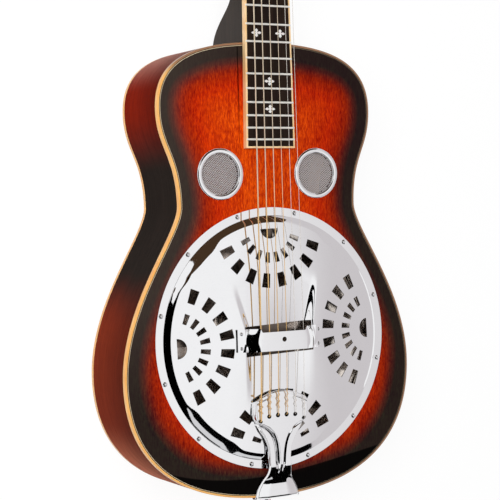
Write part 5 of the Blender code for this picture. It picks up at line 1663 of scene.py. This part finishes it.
@dataclass
class Tuners:
    """Six closed tuners: housing under the headstock, string post through it, button on the worm's shaft."""

    head: Head
    seat: float = -0.0153
    depth: float = 0.011
    inner: float = 0.0085
    outer: float = 0.0090
    near_end: float = 0.0125
    far_end: float = 0.0085
    shaft_offset: float = 0.0068
    shaft_radius: float = 0.002
    shaft_inner: float = 0.0065
    button_start: float = 0.018
    button_length: float = 0.0155
    button_width: float = 0.0105
    button_thick: float = 0.005
    post_radius: float = 0.003
    post_waist: float = 0.0028
    post_top: float = 0.016
    groove: Pair = (0.0055, 0.0135)
    groove_land: float = 0.001
    tip_ease: float = 0.0008
    box_power: float = 0.38
    floor_in: float = 0.16
    floor_from: float = 0.70
    floor_round: float = 0.30
    collar: float = 1.55
    collar_run: Series = (-0.001, 0.0004, 0.0022, 0.0032)
    screw_size: Pair = (0.0019, 0.0009)
    screw_y: float = -0.002

    def housing(self, side: float) -> Surface:
        """Rounded box that closes in a quarter ellipse at its floor, worked as a superellipse loop."""
        wide, long = (self.inner + self.outer) / 2, (self.near_end + self.far_end) / 2
        loop = np.column_stack([np.sign(wave) * np.abs(wave) ** self.box_power * half
                                for wave, half in zip(circle(1.0, 64).T, (wide, long))])
        turn = np.linspace(0.0, math.pi / 2, 8)
        shrink = np.concatenate([[1.0], 1.0 - self.floor_in * (1.0 - np.cos(turn))])
        drop = np.concatenate([[0.0], self.floor_from * self.depth + self.floor_round * self.depth * np.sin(turn)])
        sections = np.empty((len(drop), len(loop), 3))
        sections[..., :2] = loop * shrink[:, None, None]
        sections[..., 2] = self.seat - drop[:, None]
        middle = (side * (self.outer - self.inner) / 2, (self.far_end - self.near_end) / 2, 0.0)
        return lofted(sections).moved(Matrix.Translation(middle))

    def button(self) -> Surface:
        """Worm shaft with a collar, and an oval button whose size swells and closes along X."""
        start, sweep, fullness, slimming, slim_from = 0.10, 0.82, 0.55, 0.12, 0.3
        hollow, hollow_at, hollow_half = 0.22, 0.55, 0.22
        run = np.linspace(0.0, 1.0, 26)
        swell = np.sin(math.pi * np.clip(start + sweep * run, 0.0, 1.0)) ** fullness
        swell *= 1.0 - slimming * smooth_step(run, slim_from, 1.0)
        pinch = 1.0 - hollow * np.exp(-((run - hollow_at) / hollow_half) ** 2)
        radius = self.shaft_radius
        stem_x = (-self.shaft_inner, *(self.outer + step for step in self.collar_run), self.button_start - 0.0004)
        stem_radius = radius * np.array((1.0, 1.0, self.collar, self.collar, 1.0, 1.0))
        stem = np.column_stack([stem_x, stem_radius, stem_radius])
        knob = np.column_stack([self.button_start + run * self.button_length,
                                np.maximum(swell * self.button_width, radius),
                                np.maximum(swell * pinch * self.button_thick, 0.8 * radius)])
        close = knob[-1:] * (1.0, 0.5, 0.5) + (0.0002, 0.0, 0.0)
        rows = np.concatenate([stem, knob, close])
        around = circle(1.0, 36)
        sections = np.empty((len(rows), len(around), 3))
        sections[..., 0] = rows[:, :1]
        sections[..., 1:] = rows[:, None, 1:] * around
        return lofted(sections)

    def post(self) -> Surface:
        """String post: a groove between two lands, and a tip with a rounded edge."""
        low, high = self.groove
        radius, waist, top = self.post_radius, self.post_waist, self.post_top
        turn = np.linspace(0.0, math.pi / 2, 6)
        tip = np.column_stack([radius - self.tip_ease * (1 - np.cos(turn)), top - self.tip_ease * (1 - np.sin(turn))])
        foot = self.seat - self.depth + 0.002
        profile = np.concatenate([[(radius, foot), (radius, low - self.groove_land), (waist, low), (waist, high),
                                   (radius, high + self.groove_land)], tip, [(0.0006, top + 0.0002)]])
        return turned(profile, 40)

    def bushing(self) -> Surface:
        """Stepped ferrule round the post on the headstock's face."""
        base = GAP + 0.0015
        inner, outer = self.post_radius + GAP, 0.0062
        profile = ((outer, base), (outer, base + 0.0006), (outer - 0.0005, base + 0.0011), (0.0046, base + 0.0014),
                   (0.0043, base + 0.0024), (inner + 0.0002, base + 0.0026), (inner, base + 0.0024), (inner, base))
        return turned(profile, 48, ring=True)

    def build(self) -> None:
        """Makes every tuner on its bodies."""
        seat = self.head.placed()
        axle = self.seat - self.depth / 2
        cap = screw_head(*self.screw_size)
        for label, x, y in self.head.posts():
            side = math.copysign(1.0, x)
            place = seat @ Matrix.Translation((x, y, 0.0))
            add(f"gear_housing_{label}", self.housing(side).moved(place), CHROME,
                replaces=(f"tuner_housing_{label}",), sharp=35.0)
            under = place @ Matrix.Translation((0.0, self.screw_y, self.seat - self.depth))
            add(f"housing_screw_{label}", cap.moved(under @ Matrix.Rotation(math.pi, 4, "X")), CHROME)
            add(f"post_bushing_{label}", self.bushing().moved(place), CHROME)
            add(f"string_post_{label}", self.post().moved(place), CHROME, body=f"post_{label}",
                replaces=(f"tuner_post_{label}",), sharp=35.0)
            shaft = place @ Matrix.Translation((0.0, -self.shaft_offset, axle))
            turn = Matrix.Identity(4) if side > 0 else Matrix.Rotation(math.pi, 4, "Z")
            add(f"tuning_key_{label}", self.button().moved(shaft @ turn), CHROME, body=f"button_{label}",
                replaces=(f"tuner_button_{label}",), sharp=35.0)


@dataclass
class Strings:
    """Six strings from their ball ends in the tailpiece to their turns on the posts."""

    head: Head
    anchor: Tailpiece
    gauges: Series = (0.00142, 0.00117, 0.00091, 0.00068, 0.00052, 0.00048)
    wound: int = 4
    scale: float = 0.635
    nut_spread: float = 0.0446
    saddle_spread: float = 0.0536
    nut_rise: float = 0.0165
    saddle_rise: float = 0.0203
    saddle_half: float = 0.0019
    wrap_top: float = 0.0115
    turns: int = 2
    post_waist: float = 0.0028
    twist_length: float = 0.019
    twist_turns: float = 2.7
    twist_gap: float = 0.0005
    bend: float = 0.0016
    bend_sweep: float = 0.46 * math.pi
    wrap_gap: float = 0.00046
    ball_drop: float = 0.0030
    ball_clear: float = 0.0022
    counts: tuple[int, ...] = (24, 2, 60, 3)

    def route(self, index: int) -> tuple[Array, Array]:
        """Centre line of a string and the sideways hint for its circles.

        The line rises from the ball end, bends forward in a quarter arc, runs straight over saddle and nut,
        and ends in a helix round the post.
        """
        radius = self.gauges[index] / 2
        share = index / 5 - 0.5
        low = TOP + self.anchor.top
        ball_x, ball_y = self.anchor.hole_place(index)
        sweep = np.linspace(0.0, self.bend_sweep, 9)
        rise = np.column_stack([np.full_like(sweep, ball_x), ball_y + self.bend * (1 - np.cos(sweep)),
                                low + self.bend * np.sin(sweep)])
        saddle_z, nut_z = TOP + self.saddle_rise + GAP + radius, TOP + self.nut_rise + GAP + radius
        line = np.array((
            (share * self.saddle_spread, AXIS_Y - self.saddle_half, saddle_z),
            (share * self.saddle_spread, AXIS_Y + self.saddle_half, saddle_z),
            (share * self.nut_spread, self.scale - GAP, nut_z),
            (share * self.nut_spread, self.head.root_y, nut_z)))
        _, post_x, post_y = self.head.posts()[index]
        side = math.copysign(1.0, post_x)
        reach = self.post_waist + GAP + radius
        angle = np.linspace(0.0, 2 * math.pi * self.turns, 28 * self.turns + 1)
        coil = np.column_stack([post_x - side * reach * np.cos(angle), post_y + reach * np.sin(angle),
                                self.wrap_top - (2 * radius + self.wrap_gap) * angle / (2 * math.pi)])
        carry = np.array(self.head.placed())
        coil = coil @ carry[:3, :3].T + carry[:3, 3]
        start = np.array(((ball_x, ball_y, low - self.ball_drop),))
        stretch = np.concatenate([start, rise, line])
        spaced = [np.linspace(a, b, n, endpoint=False) for a, b, n in
                  zip(stretch[:-1], stretch[1:], (*[2] * len(sweep), *self.counts))]
        path = np.concatenate([*spaced, stretch[-1:], np.linspace(stretch[-1], coil[0], 6)[1:-1], coil])
        tangent = np.gradient(path, axis=0)
        hint = np.tile(np.array((1.0, 0.0, 0.0)), (len(path), 1))
        count = len(coil)
        hint[-count:] = np.cross(tangent[-count:], carry[:3, 2])
        return path, hint

    def twist(self, index: int) -> Surface:
        """The string's end wound back round itself in front of its hole: a helix that tightens forward."""
        radius = self.gauges[index] / 2
        path, _ = self.route(index)
        first, second = path[20], path[40]
        along = (second - first) / np.linalg.norm(second - first)
        run = np.linspace(0.0, 1.0, 90)[:, None]
        angle = run * 2 * math.pi * self.twist_turns
        wire = 0.42 * radius + 0.00012
        reach = radius + wire + self.twist_gap
        side = np.array((1.0, 0.0, 0.0))
        lift = np.cross(side, along)
        helix = first + along * run * self.twist_length + reach * (np.cos(angle) * side + np.sin(angle) * lift)
        return tube(helix, wire, 8, along)

    def ball(self, index: int) -> Surface:
        """Barrel at the string's end, under the tailpiece."""
        profile = ((0.0006, 0.0), (0.0019, 0.0003), (0.0016, 0.0015), (0.0019, 0.0027), (0.0006, self.ball_drop))
        low = TOP + self.anchor.top - self.ball_clear - self.ball_drop
        return turned(profile, 20).moved(Matrix.Translation((*self.anchor.hole_place(index), low)))

    def build(self) -> None:
        """Makes the strings with their twisted ends and barrels."""
        for index, gauge in enumerate(self.gauges):
            finish = BRONZE if index < self.wound else STEEL
            path, hint = self.route(index)
            add(f"taut_string_{index + 1}", tube(path, gauge / 2, 12, hint), finish,
                replaces=(f"string_{index + 1}",))
            add(f"string_twist_{index + 1}", self.twist(index), finish)
        add("string_barrels", Surface.joined([self.ball(index) for index in range(6)]), BRASS)


@dataclass(frozen=True)
class Card:
    """A level panel overhead that only mirrors see, of one colour or fading to another along X."""

    name: str
    z: float
    colour: Colour
    outline: tuple[Pair, ...]
    far_colour: Colour | None = None
    fade: Pair = (0.5, 1.8)

    def build(self) -> None:
        """Hangs the panel."""
        item = Surface(raised(np.array(self.outline), self.z), [np.arange(len(self.outline))[None]]).build(self.name)
        material, graph = new_material(self.name)
        colour: Value = self.colour
        if self.far_colour is not None:
            colour = graph.blend(graph.axis(0).step(*self.fade), self.colour, self.far_colour)
        graph.shown(graph.node("ShaderNodeEmission", {"Color": colour, "Strength": 1.0}))
        item.data.materials.append(material)
        item.visible_camera = item.visible_diffuse = item.visible_shadow = False
        item.visible_transmission = item.visible_volume_scatter = False


BLACK, WHITE = (0.0, 0.0, 0.0), (1.0, 1.0, 1.0)
CARDS = (
    Card("softbox_wide", 1.80, WHITE, ((-0.1, -9.0), (9.0, -9.0), (9.0, 6.0), (-0.1, 6.0)),
         far_colour=(0.66, 0.63, 0.64)),
    Card("flag_left", 1.73, BLACK, (
        (-1.38, -0.93), (-0.20, -0.93), (0.10, -0.56), (0.05, -0.48), (-0.02, -0.30), (-0.035, -0.12),
        (-0.01, 0.10), (0.02, 0.30), (0.10, 0.63), (-1.38, 0.63))),
    Card("flag_tail", 1.735, BLACK, (
        (0.10, -0.56), (0.25, -0.62), (0.35, -0.75), (0.50, -0.82), (0.59, -0.94), (0.80, -1.00), (1.27, -1.08),
        (1.43, -1.05), (1.80, -1.47), (2.25, -1.99), (3.05, -2.85), (4.30, -4.15), (6.10, -6.00), (6.10, -9.00),
        (-1.0, -9.00), (-1.0, -0.93), (-0.2, -0.92))),
    Card("flag_neck", 1.725, (0.060, 0.033, 0.017), (
        (-1.0, 0.63), (0.06, 0.45), (0.30, 0.40), (0.42, 0.46), (0.52, 0.58), (0.72, 0.63), (1.11, 0.66),
        (1.30, 1.08), (1.85, 1.95), (1.95, 5.0), (-1.0, 5.0))),
    Card("strip_high", 1.70, WHITE, (
        (-0.05, 0.55), (-0.05, 0.66), (-0.14, 0.78), (-0.29, 0.90), (-0.50, 0.75), (-0.80, 0.62), (-0.72, 0.44),
        (-0.50, 0.33), (-0.32, 0.35), (-0.12, 0.50))),
    Card("strip_low", 1.70, (0.72, 0.72, 0.73), (
        (-0.10, -0.93), (-0.02, -0.98), (0.08, -1.09), (0.20, -1.20), (0.34, -1.32), (0.38, -1.70), (0.44, -1.87),
        (0.64, -2.02), (0.89, -2.17), (1.15, -2.33), (1.55, -3.60), (1.12, -3.28), (0.71, -2.94), (0.36, -2.64),
        (0.30, -2.20), (0.24, -1.62), (0.08, -1.46), (-0.06, -1.31), (-0.19, -1.17), (-0.20, -1.05))),
)


@dataclass
class Studio:
    """Camera, light, floor and the cards that the metal mirrors."""

    eye: Triple = (-0.8160, 0.1353, 1.4990)
    forward: Triple = (0.4885, -0.0264, -0.8722)
    up: Triple = (0.0350, 0.9993, -0.0106)
    lens: float = 107.58
    sensor: float = 36.0
    sky: float = 0.40
    key_power: float = 30.0
    key_size: float = 1.3
    key_place: Triple = (-0.9, 0.5, 1.6)
    key_aim: Triple = (0.0, 0.05, 0.05)
    floor_half: float = 6.0
    floor_z: float = -0.0004
    floor_matt: Colour = (0.9, 0.9, 0.9)
    floor_glow: float = 1.025
    floor_share: float = 0.88

    def camera(self) -> None:
        """Camera at the photograph's viewing angle."""
        data = bpy.data.cameras.new("photo_view")
        data.lens, data.sensor_width = self.lens, self.sensor
        back = -Vector(self.forward).normalized()
        right = Vector(self.up).cross(back).normalized()
        turn = Matrix((right, back.cross(right), back)).transposed().to_4x4()
        item = bpy.data.objects.new("photo_view", data)
        item.matrix_world = Matrix.Translation(self.eye) @ turn
        bpy.context.scene.collection.objects.link(item)
        bpy.context.scene.camera = item

    @staticmethod
    def seen(graph: Graph) -> Wire:
        """1 on rays from the camera or off gloss and glass, 0 on rays that carry light."""
        camera, gloss, glass = (graph.node("ShaderNodeLightPath", out=f"Is {kind} Ray")
                                for kind in ("Camera", "Glossy", "Transmission"))
        return camera.larger(gloss).larger(glass)

    def world(self) -> None:
        """White to look at, softer as a light."""
        world = bpy.data.worlds.new("white_room")
        bpy.context.scene.world = world
        world.use_nodes = True
        graph = Graph(world.node_tree)
        light = graph.node("ShaderNodeBackground", {"Color": WHITE, "Strength": self.sky})
        white = graph.node("ShaderNodeBackground", {"Color": WHITE, "Strength": 1.0})
        mixed = graph.node("ShaderNodeMixShader", {0: self.seen(graph), 1: light, 2: white})
        graph.node("ShaderNodeOutputWorld", {"Surface": mixed})

    def floor(self) -> None:
        """White floor that glows to the camera and keeps a faint shadow."""
        corners = self.floor_half * np.array(((-1.0, -1.0), (1.0, -1.0), (1.0, 1.0), (-1.0, 1.0)))
        item = Surface(raised(corners, self.floor_z), [np.arange(4)[None]]).build("studio_floor")
        material, graph = new_material("floor_white")
        matt = graph.node("ShaderNodeBsdfDiffuse", {"Color": self.floor_matt})
        glow = graph.node("ShaderNodeEmission", {"Color": WHITE, "Strength": self.floor_glow})
        graph.shown(graph.node("ShaderNodeMixShader", {0: self.floor_share * self.seen(graph), 1: matt, 2: glow}))
        item.data.materials.append(material)

    def lamp(self) -> None:
        """Soft square lamp aimed at the body. Gloss mirrors the white room, not the lamp."""
        data = bpy.data.lights.new("key_softbox", "AREA")
        data.energy, data.size = self.key_power, self.key_size
        item = bpy.data.objects.new("key_softbox", data)
        item.location = self.key_place
        item.rotation_euler = (Vector(self.key_aim) - Vector(self.key_place)).to_track_quat("-Z", "Y").to_euler()
        item.visible_glossy = False
        bpy.context.scene.collection.objects.link(item)

    def build(self) -> None:
        """Sets up the whole studio."""
        bpy.context.scene.view_settings.view_transform = "Standard"
        self.camera()
        self.world()
        self.floor()
        self.lamp()
        for card in CARDS:
            card.build()


def main() -> None:
    """Builds the studio and every sub-assembly in order."""
    logging.basicConfig(level=logging.INFO, format="%(name)s %(message)s")
    Studio().build()
    SoundBody().build()
    Screens().build()
    Resonator().build()
    plate = Coverplate()
    plate.build()
    PalmRest(plate).build()
    anchor = Tailpiece()
    anchor.build()
    board, head = Fretboard(), Head()
    board.build()
    Neck(board, head).build()
    Tuners(head).build()
    Strings(head, anchor).build()


if __name__ == "__main__":
    main()
